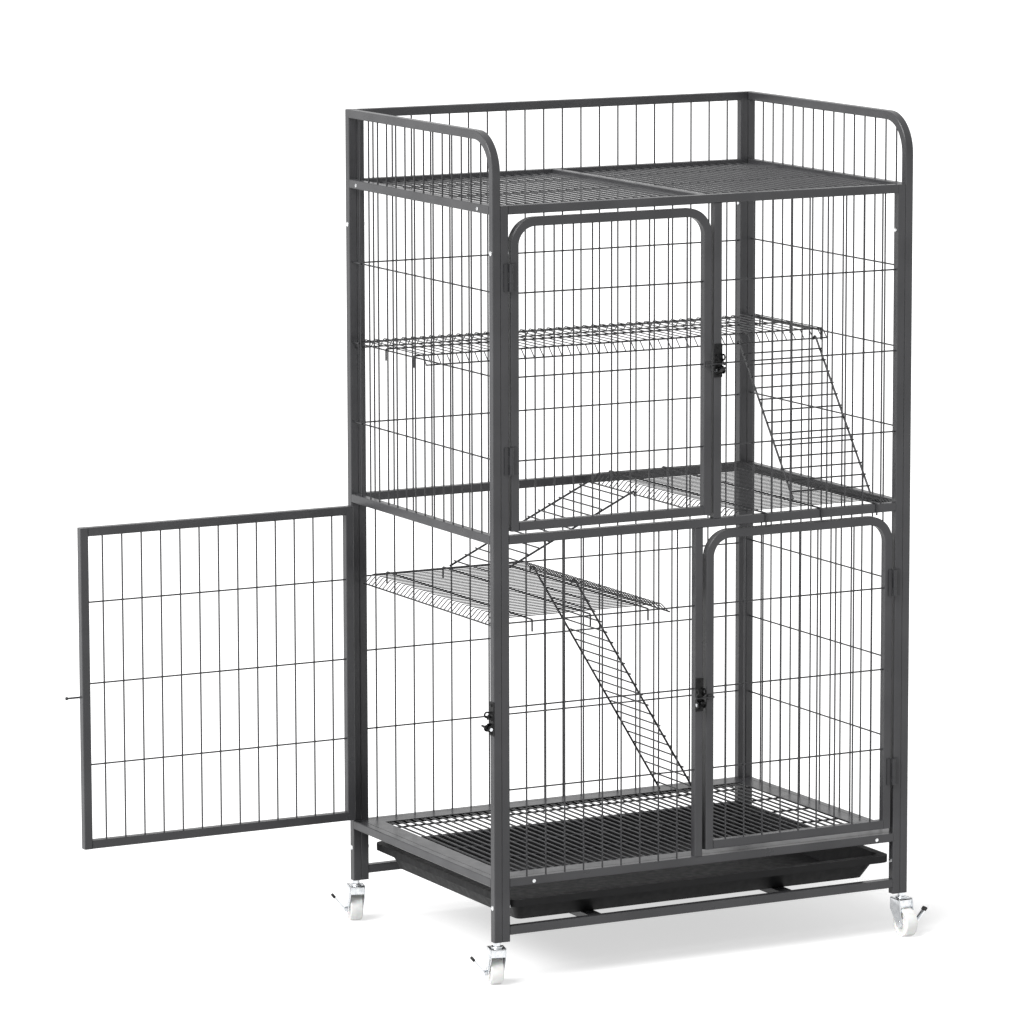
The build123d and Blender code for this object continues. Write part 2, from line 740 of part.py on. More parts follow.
TRAY_BOTTOM = LOW_RAIL + TUBE + 0.3
TRAY_TOP = 157
TRAY_WALL = 2.5
with BuildPart() as tray:
    with BuildSketch(Plane.XY.offset(TRAY_BOTTOM)):
        with Locations((-1, -12)):
            RectangleRounded(738, 488, 12)
    with BuildSketch(Plane.XY.offset(TRAY_TOP)):
        with Locations((0, -13)):
            RectangleRounded(784, 544, 18)
    loft(ruled=True)
    rim = tray.faces().sort_by(Axis.Z)[-1]
    offset(amount=-TRAY_WALL, openings=rim)
    with BuildSketch(Plane.XY.offset(TRAY_TOP - TRAY_WALL)):
        with Locations((0, -13)):
            RectangleRounded(810, 570, 20)
            RectangleRounded(780, 540, 16, mode=Mode.SUBTRACT)
    extrude(amount=TRAY_WALL)
    with BuildSketch(Plane.XY.offset(144)):
        with Locations((0, -13)):
            RectangleRounded(810, 570, 20)
            RectangleRounded(805, 565, 17.5, mode=Mode.SUBTRACT)
    extrude(amount=TRAY_TOP - 144)
save("tray", tray.part)


# Ladders: two rails that hook over a lip wire, rungs laid across their upper side.

def ladder(name, plane, rails, lip, foot_reach, foot_level, rung_count):
    """Ladder in an upright plane whose X runs from the lip toward the foot.

    The lip wire stands at lip = (x, z) of the plane; the foot is foot_reach further on
    and at foot_level. Rails stand at the given offsets along the plane's normal.
    """
    lip_x, lip_z = lip
    centre = Vector(lip_x, lip_z)
    foot = Vector(lip_x + foot_reach, foot_level)
    # The rail line passes the lip wire at the hook's radius, on its upper side.
    span = foot - centre
    lean = math.atan2(span.Y, span.X)
    tilt = math.asin(LADDER_HOOK_R / span.length)
    run = Vector(math.cos(lean - tilt), math.sin(lean - tilt))
    up_side = Vector(-run.Y, run.X)
    points = [(foot.X, foot.Y)]
    for step in range(HOOK_BENDS + 1):
        turn = lean - tilt + math.pi / 2 + math.pi * step / HOOK_BENDS
        points.append((lip_x + LADDER_HOOK_R * math.cos(turn), lip_z + LADDER_HOOK_R * math.sin(turn)))
    side_rails = strips([plane.offset(rail) for rail in rails], points, RAIL_WIRE, RAIL_WIRE)
    reach = RAIL_WIRE / 2 + RUNG / 2
    with BuildPart() as rungs:
        middle = plane.offset(sum(rails) / 2)
        with BuildSketch(middle):
            for index in range(rung_count):
                spot = foot - run * (14 + RUNG_PITCH * index) + up_side * reach
                with Locations((spot.X, spot.Y)):
                    Rectangle(RUNG, RUNG, rotation=math.degrees(math.atan2(run.Y, run.X)))
        extrude(amount=LADDER_WIDTH / 2 + RAIL_WIRE / 2, both=True)
    save(name, side_rails, rungs.part)


# From the upper shelf's front lip down to the middle shelf, toward the front
ladder(
    "upper_ladder",
    Plane(origin=(0, 0, 0), x_dir=(0, -1, 0), z_dir=(-1, 0, 0)),
    (-233.5, -233.5 - LADDER_WIDTH),
    (-(UPPER_SHELF[0] - LIP_DROP), upper_level - LIP_DROP),
    207, middle_level + FINE_WIRE / 2 + 2.5, 13,
)

# From the middle shelf's left lip down to the lower shelf, toward the left
ladder(
    "middle_ladder",
    Plane(origin=(0, 0, 0), x_dir=(-1, 0, 0), z_dir=(0, 1, 0)),
    (98.5, 98.5 + LADDER_WIDTH),
    (-(MIDDLE_SHELF[0] - LIP_DROP), middle_level - LIP_DROP),
    307, lower_level + FINE_WIRE / 2 + 2.5, 13,
)

# From the lower shelf's right lip down to the floor, toward the right
ladder(
    "lower_ladder",
    Plane(origin=(0, 0, 0), x_dir=(1, 0, 0), z_dir=(0, -1, 0)),
    (-98.5, -98.5 - LADDER_WIDTH),
    (LOWER_SHELF[1] + LIP_DROP, lower_level - LIP_DROP),
    282, ledge_top - SHEET + 2.5, 20,
)


# Through bolts where two frames meet at a post, and the screws of roof and floor

def bolt(side, y, z):
    """Domed head outside, shank hidden in the tubes, nut inside."""
    with BuildPart() as piece:
        with BuildSketch(Plane.YZ.offset(side * HALF_W)):
            with Locations((y, z)):
                RegularPolygon(BOLT_HEAD_R, 8)
        extrude(amount=side * 2, taper=25)
    with BuildPart() as nut:
        with BuildSketch(Plane.YZ.offset(side * BAY_X)):
            with Locations((y, z)):
                RegularPolygon(NUT_R, 6)
        extrude(amount=-side * NUT_HEIGHT)
    return [piece.part, nut.part]


bolts = []
for side in (-1, 1):
    for y in (-POST_Y, POST_Y):
        for z in (146, 1343):
            bolts += bolt(side, y, z)
save("frame_bolts", *bolts)

with BuildPart() as screws:
    for side in (-1, 1):
        with BuildSketch(Plane.YZ.offset(side * HALF_W)):
            with Locations((255, 1419), (-240, 1419)):
                RegularPolygon(3.4, 8)
        extrude(amount=side * 1.5, taper=20)
    with BuildSketch(Plane.XZ.offset(HALF_D)):
        with Locations((-359, 190), (372, 190)):
            RegularPolygon(3.4, 8)
    extrude(amount=1.5, taper=20)
save("panel_screws", screws.part)


# Casters: a stem in each corner post, a swivelling fork with its axle, the wheel and a
# brake lever that stands out on one side.

def caster(name, swivel, axle_angle):
    """One caster; axle_angle is the direction of the lever along the axle, from +X."""
    x, y = swivel
    turn = math.radians(axle_angle)
    along = Vector(math.cos(turn), math.sin(turn))
    trailing = Vector(math.sin(turn), -math.cos(turn))
    side = Plane(origin=(x, y, 0), x_dir=trailing, z_dir=along * -1)
    end_on = Plane(origin=(x, y, 0), x_dir=along, z_dir=trailing)
    cheek_out = WHEEL_WIDTH / 2 + 3
    cheek_in = WHEEL_WIDTH / 2 + 1

    with BuildPart() as fork:
        with BuildSketch(side) as outline:
            with Locations((CASTER_TRAIL, WHEEL_R)):
                disc(9.5)
            with Locations((0.5, 61)):
                Rectangle(33, 22)
            make_hull(outline.edges())
        extrude(amount=cheek_out, both=True)
        with BuildSketch(side):
            with Locations((CASTER_TRAIL, WHEEL_R)):
                disc(WHEEL_R + 3, 2 * FLATS)
            with Locations((CASTER_TRAIL + 14, 12)):
                Rectangle(90, 40)
        extrude(amount=cheek_in, both=True, mode=Mode.SUBTRACT)
        with BuildSketch(Plane.XY.offset(72)):
            with Locations((x, y)):
                disc(11)
        extrude(amount=CASTER_TOP - 72)
        with BuildSketch(Plane.XY.offset(50)):
            with Locations((x, y)):
                disc((CASTER_STEM_R + RUNNING) / math.cos(math.pi / FLATS))
        extrude(amount=30, mode=Mode.SUBTRACT)
        for ear in (-7.0, 5.5):
            with BuildSketch(end_on.offset(CASTER_TRAIL + ear)):
                with Locations((cheek_out + 2.5, 21)):
                    Rectangle(7, 8)
                with Locations((LEVER_PIVOT[0], LEVER_PIVOT[1])):
                    RegularPolygon(LEVER_PIN_R, FLATS, mode=Mode.SUBTRACT)
            extrude(amount=1.5)
        with BuildSketch(side):
            with Locations((CASTER_TRAIL, WHEEL_R)):
                disc((AXLE_R + RUNNING) / math.cos(math.pi / FLATS))
        extrude(amount=cheek_out, both=True, mode=Mode.SUBTRACT)
    with BuildPart() as axle:
        with BuildSketch(side):
            with Locations((CASTER_TRAIL, WHEEL_R)):
                disc(AXLE_R)
        extrude(amount=cheek_out, both=True)
        for end in (-1, 1):
            with BuildSketch(side.offset(end * cheek_out)):
                with Locations((CASTER_TRAIL, WHEEL_R)):
                    disc(AXLE_R + 0.9)
            extrude(amount=end * 1.2)
    with BuildPart() as lever_pin:
        with BuildSketch(end_on.offset(CASTER_TRAIL - 7.0)):
            with Locations(LEVER_PIVOT):
                disc(LEVER_PIN_R)
        extrude(amount=14)
    save(f"caster_fork_{name}", fork.part, axle.part, lever_pin.part)

    with BuildPart() as wheel:
        with BuildSketch(side):
            with Locations((CASTER_TRAIL, WHEEL_R)):
                disc(WHEEL_R, 2 * FLATS)
        extrude(amount=WHEEL_WIDTH / 2, both=True)
        chamfer(wheel.faces().sort_by(SortBy.AREA)[-2:].edges(), 2.5)
        with BuildSketch(side):
            with Locations((CASTER_TRAIL, WHEEL_R)):
                disc((AXLE_R + RUNNING) / math.cos(math.pi / FLATS))
        extrude(amount=WHEEL_WIDTH, both=True, mode=Mode.SUBTRACT)
    save(f"caster_wheel_{name}", wheel.part)

    rise = Vector(math.cos(math.radians(LEVER_ANGLE)), math.sin(math.radians(LEVER_ANGLE)))
    pivot = Vector(*LEVER_PIVOT)
    with BuildPart() as lever:
        with BuildSketch(end_on.offset(CASTER_TRAIL - 5.2)):
            with Locations(LEVER_PIVOT):
                disc(2.4)
            Polygon(*bent_strip([pivot + rise * 1.5, pivot + rise * LEVER_LENGTH], 2), align=None)
            with Locations(LEVER_PIVOT):
                bore(LEVER_PIN_R + RUNNING)
        extrude(amount=10.4)
    with BuildPart() as pad:
        with BuildSketch(end_on.offset(CASTER_TRAIL - 6.2)):
            Polygon(*bent_strip([pivot + rise * (LEVER_LENGTH - 12), pivot + rise * (LEVER_LENGTH + 2)], 5), align=None)
            Polygon(*bent_strip([pivot + rise * (LEVER_LENGTH - 13), pivot + rise * LEVER_LENGTH], 2),
                    align=None, mode=Mode.SUBTRACT)
        extrude(amount=12.4)
    save(f"caster_lever_{name}", lever.part, pad.part)


CASTERS = {
    "front_left": ((-SIDE_X, -POST_Y), 164.4),
    "front_right": ((SIDE_X, -POST_Y), 0.0),
    "back_left": ((-SIDE_X, POST_Y), 164.4),
    "back_right": ((SIDE_X, POST_Y), 15.0),
}
for name, (swivel, axle_angle) in CASTERS.items():
    caster(name, swivel, axle_angle)

with BuildPart() as stems:
    with BuildSketch(Plane.XY.offset(58)):
        with Locations(*[swivel for swivel, _ in CASTERS.values()]):
            disc(CASTER_STEM_R)
    extrude(amount=FOOT - 58)
    with BuildSketch(Plane.XY.offset(CASTER_TOP + 0.4)):
        with Locations(*[swivel for swivel, _ in CASTERS.values()]):
            disc(7)
    extrude(amount=FOOT - CASTER_TOP - 0.4)
save("caster_stems", stems.part)
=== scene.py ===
"""Cat cage: round wirework, casters, fasteners, finishes, studio light and camera."""
import logging
from dataclasses import dataclass, field
from enum import Enum
from math import asin, atan2, cos, pi, radians, sin
from typing import Any, Callable, Optional

import bpy
from mathutils import Matrix, Vector


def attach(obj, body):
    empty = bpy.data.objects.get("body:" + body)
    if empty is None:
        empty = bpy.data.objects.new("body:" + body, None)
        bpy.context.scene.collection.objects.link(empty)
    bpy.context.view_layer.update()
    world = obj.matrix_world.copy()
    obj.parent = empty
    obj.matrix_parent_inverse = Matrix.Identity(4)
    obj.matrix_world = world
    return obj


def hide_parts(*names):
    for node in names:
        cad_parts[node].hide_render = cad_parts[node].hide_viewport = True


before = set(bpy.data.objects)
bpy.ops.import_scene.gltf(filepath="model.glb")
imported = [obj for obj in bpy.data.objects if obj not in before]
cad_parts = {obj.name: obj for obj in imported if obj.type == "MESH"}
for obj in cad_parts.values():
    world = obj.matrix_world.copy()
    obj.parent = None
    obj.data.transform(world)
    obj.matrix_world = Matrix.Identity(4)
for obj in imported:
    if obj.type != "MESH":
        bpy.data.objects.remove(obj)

LOG = logging.getLogger("cat_cage")
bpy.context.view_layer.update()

Point = tuple[float, float, float]


def metres(point: Point) -> Vector:
    """Turn a place in millimetres into metres."""
    return Vector(point) / 1000


def colour(code: str) -> tuple[float, float, float, float]:
    """Turn an sRGB hex code into the linear colour that a shader takes."""
    channels = [int(code[at:at + 2], 16) / 255 for at in (1, 3, 5)]
    linear = [c / 12.92 if c <= 0.04045 else ((c + 0.055) / 1.055) ** 2.4 for c in channels]
    return (linear[0], linear[1], linear[2], 1.0)


# One metre in millimetres: patterns are sized in millimetres and shaders work in metres.
METRE = 1000

NOISE = "ShaderNodeTexNoise"
CELLS = "ShaderNodeTexVoronoi"
RAMP = "ShaderNodeValToRGB"
RANGE = "ShaderNodeMapRange"
BUMP = "ShaderNodeBump"

# A noise seldom leaves the middle of its range, so that part is what gets stretched.
MIDDLE = {"From Min": 0.3, "From Max": 0.7}


def add_node(tree: bpy.types.NodeTree, kind: str, inputs: Optional[dict[Any, Any]] = None,
             settings: Optional[dict[str, Any]] = None,
             stops: tuple[tuple[float, str], ...] = ()) -> bpy.types.Node:
    """Add a shader node with its settings and links.

    Args:
        tree: The material's or world's node tree.
        kind: The node's type name.
        inputs: Values for its sockets; a socket of another node makes a link.
        settings: Properties of the node.
        stops: Place and hex colour of each end, where the node is a colour ramp.

    Returns:
        The new node.
    """
    node = tree.nodes.new(kind)
    for name, value in (settings or {}).items():
        setattr(node, name, value)
    for name, value in (inputs or {}).items():
        if isinstance(value, bpy.types.NodeSocket):
            tree.links.new(value, node.inputs[name])
        else:
            node.inputs[name].default_value = value
    for index, (position, code) in enumerate(stops):
        element = node.color_ramp.elements[index]
        element.position, element.color = position, colour(code)
    return node


@dataclass(frozen=True)
class Finish:
    """A surface finish, made into a material on first use."""

    name: str

    def material(self) -> bpy.types.Material:
        """Make the material, or find it where it is made already.

        Returns:
            The material of this finish.
        """
        made = bpy.data.materials.get(self.name)
        if made is None:
            made = bpy.data.materials.new(self.name)
            made.use_nodes = True
            tree = made.node_tree
            tree.nodes.clear()
            place = add_node(tree, "ShaderNodeTexCoord").outputs["Object"]
            shader = add_node(tree, "ShaderNodeBsdfPrincipled", self.lay(tree, place))
            add_node(tree, "ShaderNodeOutputMaterial", {"Surface": shader.outputs["BSDF"]})
        return made

    def lay(self, tree: bpy.types.NodeTree, place: bpy.types.NodeSocket) -> dict[str, Any]:
        """Make the patterns of the finish.

        Args:
            tree: The material's node tree.
            place: The place on the piece, in metres.

        Returns:
            What each socket of the surface shader takes.
        """
        raise NotImplementedError


@dataclass(frozen=True)
class OvenCuredPowderCoat(Finish):
    """Dark grey polyester powder, sprayed dry on the steel and melted in an oven."""

    dark: str = "#3c3c3e"
    pale: str = "#444446"
    fleck: str = "#4e4e50"
    sheen_low: float = 0.27
    sheen_high: float = 0.36
    peel_mm: float = 1.4

    def lay(self, tree: bpy.types.NodeTree, place: bpy.types.NodeSocket) -> dict[str, Any]:
        """Drifting tone, pale flecks, uneven sheen and orange peel."""
        # The gun leaves a little more powder in some places, so long tubes drift in tone.
        cloud = add_node(tree, NOISE, {"Vector": place, "Scale": METRE / 90, "Detail": 3})
        tone = add_node(tree, RAMP, {"Fac": cloud.outputs[0]}, stops=((0.38, self.dark), (0.62, self.pale)))
        # Flecks of aluminium in the powder give the coat its faint sparkle.
        flecks = add_node(tree, CELLS, {"Vector": place, "Scale": METRE / 1.1})
        sparse = add_node(tree, "ShaderNodeMath", {0: flecks.outputs["Distance"], 1: 0.16},
                          {"operation": "LESS_THAN"})
        mixed = add_node(tree, "ShaderNodeMix", {0: sparse.outputs[0], 6: tone.outputs["Color"],
                                                 7: colour(self.fleck)}, {"data_type": "RGBA"})
        # Handling polishes some patches more than others.
        patches = add_node(tree, NOISE, {"Vector": place, "Scale": METRE / 35, "Detail": 4})
        sheen = add_node(tree, RANGE, {"Value": patches.outputs[0], **MIDDLE,
                                       "To Min": self.sheen_low, "To Max": self.sheen_high})
        # The melted powder keeps a fine ripple like orange peel.
        ripple = add_node(tree, NOISE, {"Vector": place, "Scale": METRE / self.peel_mm, "Detail": 1})
        peel = add_node(tree, BUMP, {"Height": ripple.outputs[0], "Distance": 0.05 / METRE, "Strength": 0.5})
        return {"Base Color": mixed.outputs[2], "Roughness": sheen.outputs["Result"],
                "Normal": peel.outputs["Normal"], "Specular IOR Level": 0.35}


@dataclass(frozen=True)
class DippedBlackEnamel(Finish):
    """Semi-gloss black on the pressed latch parts."""

    def lay(self, tree: bpy.types.NodeTree, place: bpy.types.NodeSocket) -> dict[str, Any]:
        """Black with rubbed places and a smooth, slightly pooled skin."""
        # Sliding strikers rub the enamel grey in small places.
        rubs = add_node(tree, NOISE, {"Vector": place, "Scale": METRE / 3.5, "Detail": 5})
        tone = add_node(tree, RAMP, {"Fac": rubs.outputs[0]}, stops=((0.62, "#0e0e0f"), (0.80, "#2c2c2d")))
        # The skin is glossier where it ran thick.
        runs = add_node(tree, NOISE, {"Vector": place, "Scale": METRE / 8, "Detail": 3})
        sheen = add_node(tree, RANGE, {"Value": runs.outputs[0], **MIDDLE, "To Min": 0.26, "To Max": 0.40})
        # Dipped enamel pools in a shallow long wave.
        wave = add_node(tree, NOISE, {"Vector": place, "Scale": METRE / 5, "Detail": 1})
        pool = add_node(tree, BUMP, {"Height": wave.outputs[0], "Distance": 0.08 / METRE, "Strength": 0.3})
        return {"Base Color": tone.outputs["Color"], "Roughness": sheen.outputs["Result"],
                "Normal": pool.outputs["Normal"], "Specular IOR Level": 0.2}


@dataclass(frozen=True)
class BrightZincPlate(Finish):
    """Zinc on pressed and turned steel, clouded by its passivating bath."""

    bright: str = "#e2e4e6"
    cloudy: str = "#cdd0d3"

    def lay(self, tree: bpy.types.NodeTree, place: bpy.types.NodeSocket) -> dict[str, Any]:
        """Bright metal with cloudy patches and fine tool marks."""
        # The bath leaves soft clouds a few millimetres across, duller than the bare plate.
        clouds = add_node(tree, NOISE, {"Vector": place, "Scale": METRE / 6, "Detail": 4})
        tone = add_node(tree, RAMP, {"Fac": clouds.outputs[0]}, stops=((0.35, self.bright), (0.68, self.cloudy)))
        sheen = add_node(tree, RANGE, {"Value": clouds.outputs[0], **MIDDLE, "To Min": 0.16, "To Max": 0.28})
        # Pressing and turning leave marks that the thin plate follows.
        marks = add_node(tree, NOISE, {"Vector": place, "Scale": METRE / 0.6, "Detail": 2})
        relief = add_node(tree, BUMP, {"Height": marks.outputs[0], "Distance": 0.02 / METRE, "Strength": 0.2})
        return {"Base Color": tone.outputs["Color"], "Roughness": sheen.outputs["Result"],
                "Normal": relief.outputs["Normal"], "Metallic": 1.0}


@dataclass(frozen=True)
class GrainedPolypropylene(Finish):
    """Black tray plastic with the fine grain of its mould."""

    def lay(self, tree: bpy.types.NodeTree, place: bpy.types.NodeSocket) -> dict[str, Any]:
        """Near-black with a matte etched grain and faint scuffs."""
        # Litter and claws leave faint grey scuffs on the flat faces.
        scuffs = add_node(tree, NOISE, {"Vector": place, "Scale": METRE / 28, "Detail": 5})
        tone = add_node(tree, RAMP, {"Fac": scuffs.outputs[0]}, stops=((0.52, "#101011"), (0.78, "#181819")))
        # Wiping leaves some patches duller.
        wiped = add_node(tree, NOISE, {"Vector": place, "Scale": METRE / 14, "Detail": 3})
        sheen = add_node(tree, RANGE, {"Value": wiped.outputs[0], **MIDDLE, "To Min": 0.48, "To Max": 0.62})
        # The mould is etched, so the plastic has pebbles under a millimetre across.
        pebbles = add_node(tree, CELLS, {"Vector": place, "Scale": METRE / 0.9}, {"feature": "SMOOTH_F1"})
        grain = add_node(tree, BUMP, {"Height": pebbles.outputs["Distance"], "Distance": 0.08 / METRE,
                                      "Strength": 0.6})
        return {"Base Color": tone.outputs["Color"], "Roughness": sheen.outputs["Result"],
                "Normal": grain.outputs["Normal"], "Specular IOR Level": 0.2}


@dataclass(frozen=True)
class CastNylon(Finish):
    """White wheel nylon, smooth from the mould and a little dusty."""

    def lay(self, tree: bpy.types.NodeTree, place: bpy.types.NodeSocket) -> dict[str, Any]:
        """Warm white with dust in soft patches and a waxy depth."""
        # Floor dust greys the nylon in soft patches.
        dust = add_node(tree, NOISE, {"Vector": place, "Scale": METRE / 11, "Detail": 4})
        tone = add_node(tree, RAMP, {"Fac": dust.outputs[0]}, stops=((0.46, "#f8f8f6"), (0.78, "#ebeae8")))
        # The tread is scuffed dull in places.
        scuffs = add_node(tree, NOISE, {"Vector": place, "Scale": METRE / 7, "Detail": 3})
        sheen = add_node(tree, RANGE, {"Value": scuffs.outputs[0], **MIDDLE, "To Min": 0.30, "To Max": 0.46})
        # Rolling leaves fine nicks.
        nicks = add_node(tree, NOISE, {"Vector": place, "Scale": METRE / 1.2, "Detail": 3})
        relief = add_node(tree, BUMP, {"Height": nicks.outputs[0], "Distance": 0.04 / METRE, "Strength": 0.4})
        return {"Base Color": tone.outputs["Color"], "Roughness": sheen.outputs["Result"],
                "Normal": relief.outputs["Normal"], "Subsurface Weight": 0.08, "Subsurface Scale": 0.002}


@dataclass(frozen=True)
class MouldedRubber(Finish):
    """Black rubber pushed over the ends of the brake levers."""

    def lay(self, tree: bpy.types.NodeTree, place: bpy.types.NodeSocket) -> dict[str, Any]:
        """Dull black with a dusty bloom."""
        # Rubber blooms to a dusty grey where feet don't rub it.
        bloom = add_node(tree, NOISE, {"Vector": place, "Scale": METRE / 4, "Detail": 4})
        tone = add_node(tree, RAMP, {"Fac": bloom.outputs[0]}, stops=((0.50, "#131313"), (0.75, "#242425")))
        # Feet polish it unevenly.
        rubs = add_node(tree, NOISE, {"Vector": place, "Scale": METRE / 3, "Detail": 2})
        sheen = add_node(tree, RANGE, {"Value": rubs.outputs[0], **MIDDLE, "To Min": 0.55, "To Max": 0.72})
        # A fine even grain from the mould.
        fine = add_node(tree, NOISE, {"Vector": place, "Scale": METRE / 0.5, "Detail": 1})
        grain = add_node(tree, BUMP, {"Height": fine.outputs[0], "Distance": 0.03 / METRE, "Strength": 0.5})
        return {"Base Color": tone.outputs["Color"], "Roughness": sheen.outputs["Result"],
                "Normal": grain.outputs["Normal"]}


TUBE_COAT = OvenCuredPowderCoat("powder_coat_on_tube")
WIRE_COAT = OvenCuredPowderCoat("powder_coat_on_wire", "#303032", "#363638", "#38383a", 0.30, 0.38, 0.9)
FINE_COAT = OvenCuredPowderCoat("powder_coat_on_fine_wire", "#29292b", "#2f2f31", "#313133", 0.32, 0.40, 0.8)
ENAMEL = DippedBlackEnamel("black_enamel_on_pressings")
ZINC = BrightZincPlate("zinc_plate_on_steel")
HEAD_ZINC = BrightZincPlate("bright_zinc_on_fasteners", "#eceded", "#d2d4d6")
TRAY_PLASTIC = GrainedPolypropylene("grained_black_tray_plastic")
NYLON = CastNylon("white_wheel_nylon")
RUBBER = MouldedRubber("black_lever_rubber")


class Bench:
    """The modelling steps that the pieces share. Sizes are in millimetres."""

    @staticmethod
    def activate(piece: bpy.types.Object) -> None:
        """Make one object the only selected one."""
        bpy.ops.object.select_all(action="DESELECT")
        piece.select_set(True)
        bpy.context.view_layer.objects.active = piece

    @staticmethod
    def settle(piece: bpy.types.Object) -> bpy.types.Object:
        """Put an object's place, turn and size into its mesh."""
        Bench.activate(piece)
        bpy.ops.object.transform_apply(location=True, rotation=True, scale=True)
        return piece

    @staticmethod
    def rod(start: Point, end: Point, radius: float, sides: int = 12) -> bpy.types.Object:
        """Round rod between two places.

        Args:
            start: One end.
            end: The other end.
            radius: Radius of the rod.
            sides: How many faces go round it.

        Returns:
            The rod.
        """
        first, last = metres(start), metres(end)
        run = last - first
        bpy.ops.object.select_all(action="DESELECT")
        bpy.ops.mesh.primitive_cylinder_add(
            vertices=sides, radius=radius / 1000, depth=run.length, location=(first + last) / 2,
            rotation=run.to_track_quat("Z", "Y").to_euler())
        return Bench.settle(bpy.context.object)

    @staticmethod
    def follow(points: list[Vector], radius: float) -> bpy.types.Object:
        """Round wire that follows a list of points.

        Args:
            points: The wire's centre line, in millimetres.
            radius: The wire's radius.

        Returns:
            The wire as a closed mesh.
        """
        bpy.ops.object.select_all(action="DESELECT")
        bpy.ops.curve.primitive_nurbs_path_add(location=(0, 0, 0))
        wire = bpy.context.object
        wire.data.splines.clear()
        spline = wire.data.splines.new("POLY")
        spline.points.add(len(points) - 1)
        for spot, place in zip(spline.points, points):
            spot.co = (place.x / 1000, place.y / 1000, place.z / 1000, 1)
        wire.data.bevel_depth = radius / 1000
        wire.data.bevel_resolution = 3
        wire.data.use_fill_caps = True
        bpy.ops.object.convert(target="MESH")
        wire = bpy.context.object
        bpy.ops.object.mode_set(mode="EDIT")
        bpy.ops.mesh.select_all(action="SELECT")
        bpy.ops.mesh.remove_doubles(threshold=1e-6)
        bpy.ops.mesh.normals_make_consistent(inside=False)
        bpy.ops.object.mode_set(mode="OBJECT")
        return wire

    @staticmethod
    def bent(points: list[Point], radius: float, ease: float) -> bpy.types.Object:
        """Round wire, bent at each inner point.

        Args:
            points: Where the wire's straight runs would meet.
            radius: Radius of the wire.
            ease: How far from each point the bend starts.

        Returns:
            The wire as a closed mesh.
        """
        path = [Vector(point) for point in points]
        line = [path[0]]
        for before, corner, after in zip(path, path[1:], path[2:]):
            enter = corner + (before - corner).normalized() * ease
            leave = corner + (after - corner).normalized() * ease
            line += [enter, (enter + leave + corner * 2) / 4, leave]
        line.append(path[-1])
        return Bench.follow(line, radius)

    @staticmethod
    def block(centre: Point, size: Point, tilt: float = 0.0) -> bpy.types.Object:
        """Rectangular block, tilted about Y by an angle in degrees."""
        bpy.ops.object.select_all(action="DESELECT")
        bpy.ops.mesh.primitive_cube_add(size=1, location=metres(centre), rotation=(0, radians(tilt), 0),
                                        scale=metres(size))
        return Bench.settle(bpy.context.object)

    @staticmethod
    def repeat(piece: bpy.types.Object, step: Point, count: int) -> bpy.types.Object:
        """Repeat a piece at an even step.

        Args:
            piece: The first one.
            step: The way from each to the next.
            count: How many there are in all.

        Returns:
            The same object, now holding all of them.
        """
        if count > 1:
            Bench.activate(piece)
            array = piece.modifiers.new("Repeat", "ARRAY")
            array.use_relative_offset = False
            array.use_constant_offset = True
            array.constant_offset_displace = metres(step)
            array.count = count
            bpy.ops.object.modifier_apply(modifier=array.name)
        return piece

    @staticmethod
    def round_edges(piece: bpy.types.Object, width: float, segments: int, angle: float = 40) -> bpy.types.Object:
        """Round a piece's sharp edges.

        Args:
            piece: The object.
            width: How far from the edge the rounding starts.
            segments: How many strips it has.
            angle: Edges that turn by more than this, in degrees, are rounded.

        Returns:
            The same object.
        """
        Bench.activate(piece)
        bevel = piece.modifiers.new("Round", "BEVEL")
        bevel.width = width / 1000
        bevel.segments = segments
        bevel.limit_method = "ANGLE"
        bevel.angle_limit = radians(angle)
        bpy.ops.object.modifier_apply(modifier=bevel.name)
        return piece

    @staticmethod
    def step_faces(piece: bpy.types.Object, chosen: Callable[[bpy.types.MeshPolygon], bool],
                   steps: list[tuple[float, float]]) -> bpy.types.Object:
        """Inset chosen faces again and again.

        Args:
            piece: The object.
            chosen: Says which faces are worked.
            steps: For each inset, how far in from the edge and how far out along the normal.

        Returns:
            The same object.
        """
        Bench.activate(piece)
        bpy.ops.object.mode_set(mode="EDIT")
        bpy.ops.mesh.select_mode(type="FACE")
        bpy.ops.mesh.select_all(action="DESELECT")
        bpy.ops.object.mode_set(mode="OBJECT")
        for face in piece.data.polygons:
            face.select = chosen(face)
        bpy.ops.object.mode_set(mode="EDIT")
        for inward, outward in steps:
            bpy.ops.mesh.inset(thickness=inward / 1000, depth=outward / 1000)
        bpy.ops.object.mode_set(mode="OBJECT")
        return piece

    @staticmethod
    def hull(parts: list[bpy.types.Object]) -> bpy.types.Object:
        """Wrap several parts in one convex shape.

        Args:
            parts: The objects, which are used up.

        Returns:
            The new shape.
        """
        Bench.activate(parts[0])
        for part in parts:
            part.select_set(True)
        bpy.ops.object.join()
        bpy.ops.object.mode_set(mode="EDIT")
        bpy.ops.mesh.select_all(action="SELECT")
        bpy.ops.mesh.convex_hull()
        bpy.ops.mesh.select_all(action="SELECT")
        bpy.ops.mesh.normals_make_consistent(inside=False)
        bpy.ops.object.mode_set(mode="OBJECT")
        return bpy.context.object

    @staticmethod
    def cut(piece: bpy.types.Object, tool: bpy.types.Object) -> bpy.types.Object:
        """Cut one object out of another.

        Args:
            piece: The object that is cut.
            tool: The shape that is taken away, and then removed.

        Returns:
            The cut object.
        """
        Bench.activate(piece)
        boolean = piece.modifiers.new("Cut", "BOOLEAN")
        boolean.operation = "DIFFERENCE"
        boolean.object = tool
        bpy.ops.object.modifier_apply(modifier=boolean.name)
        bpy.data.objects.remove(tool)
        return piece

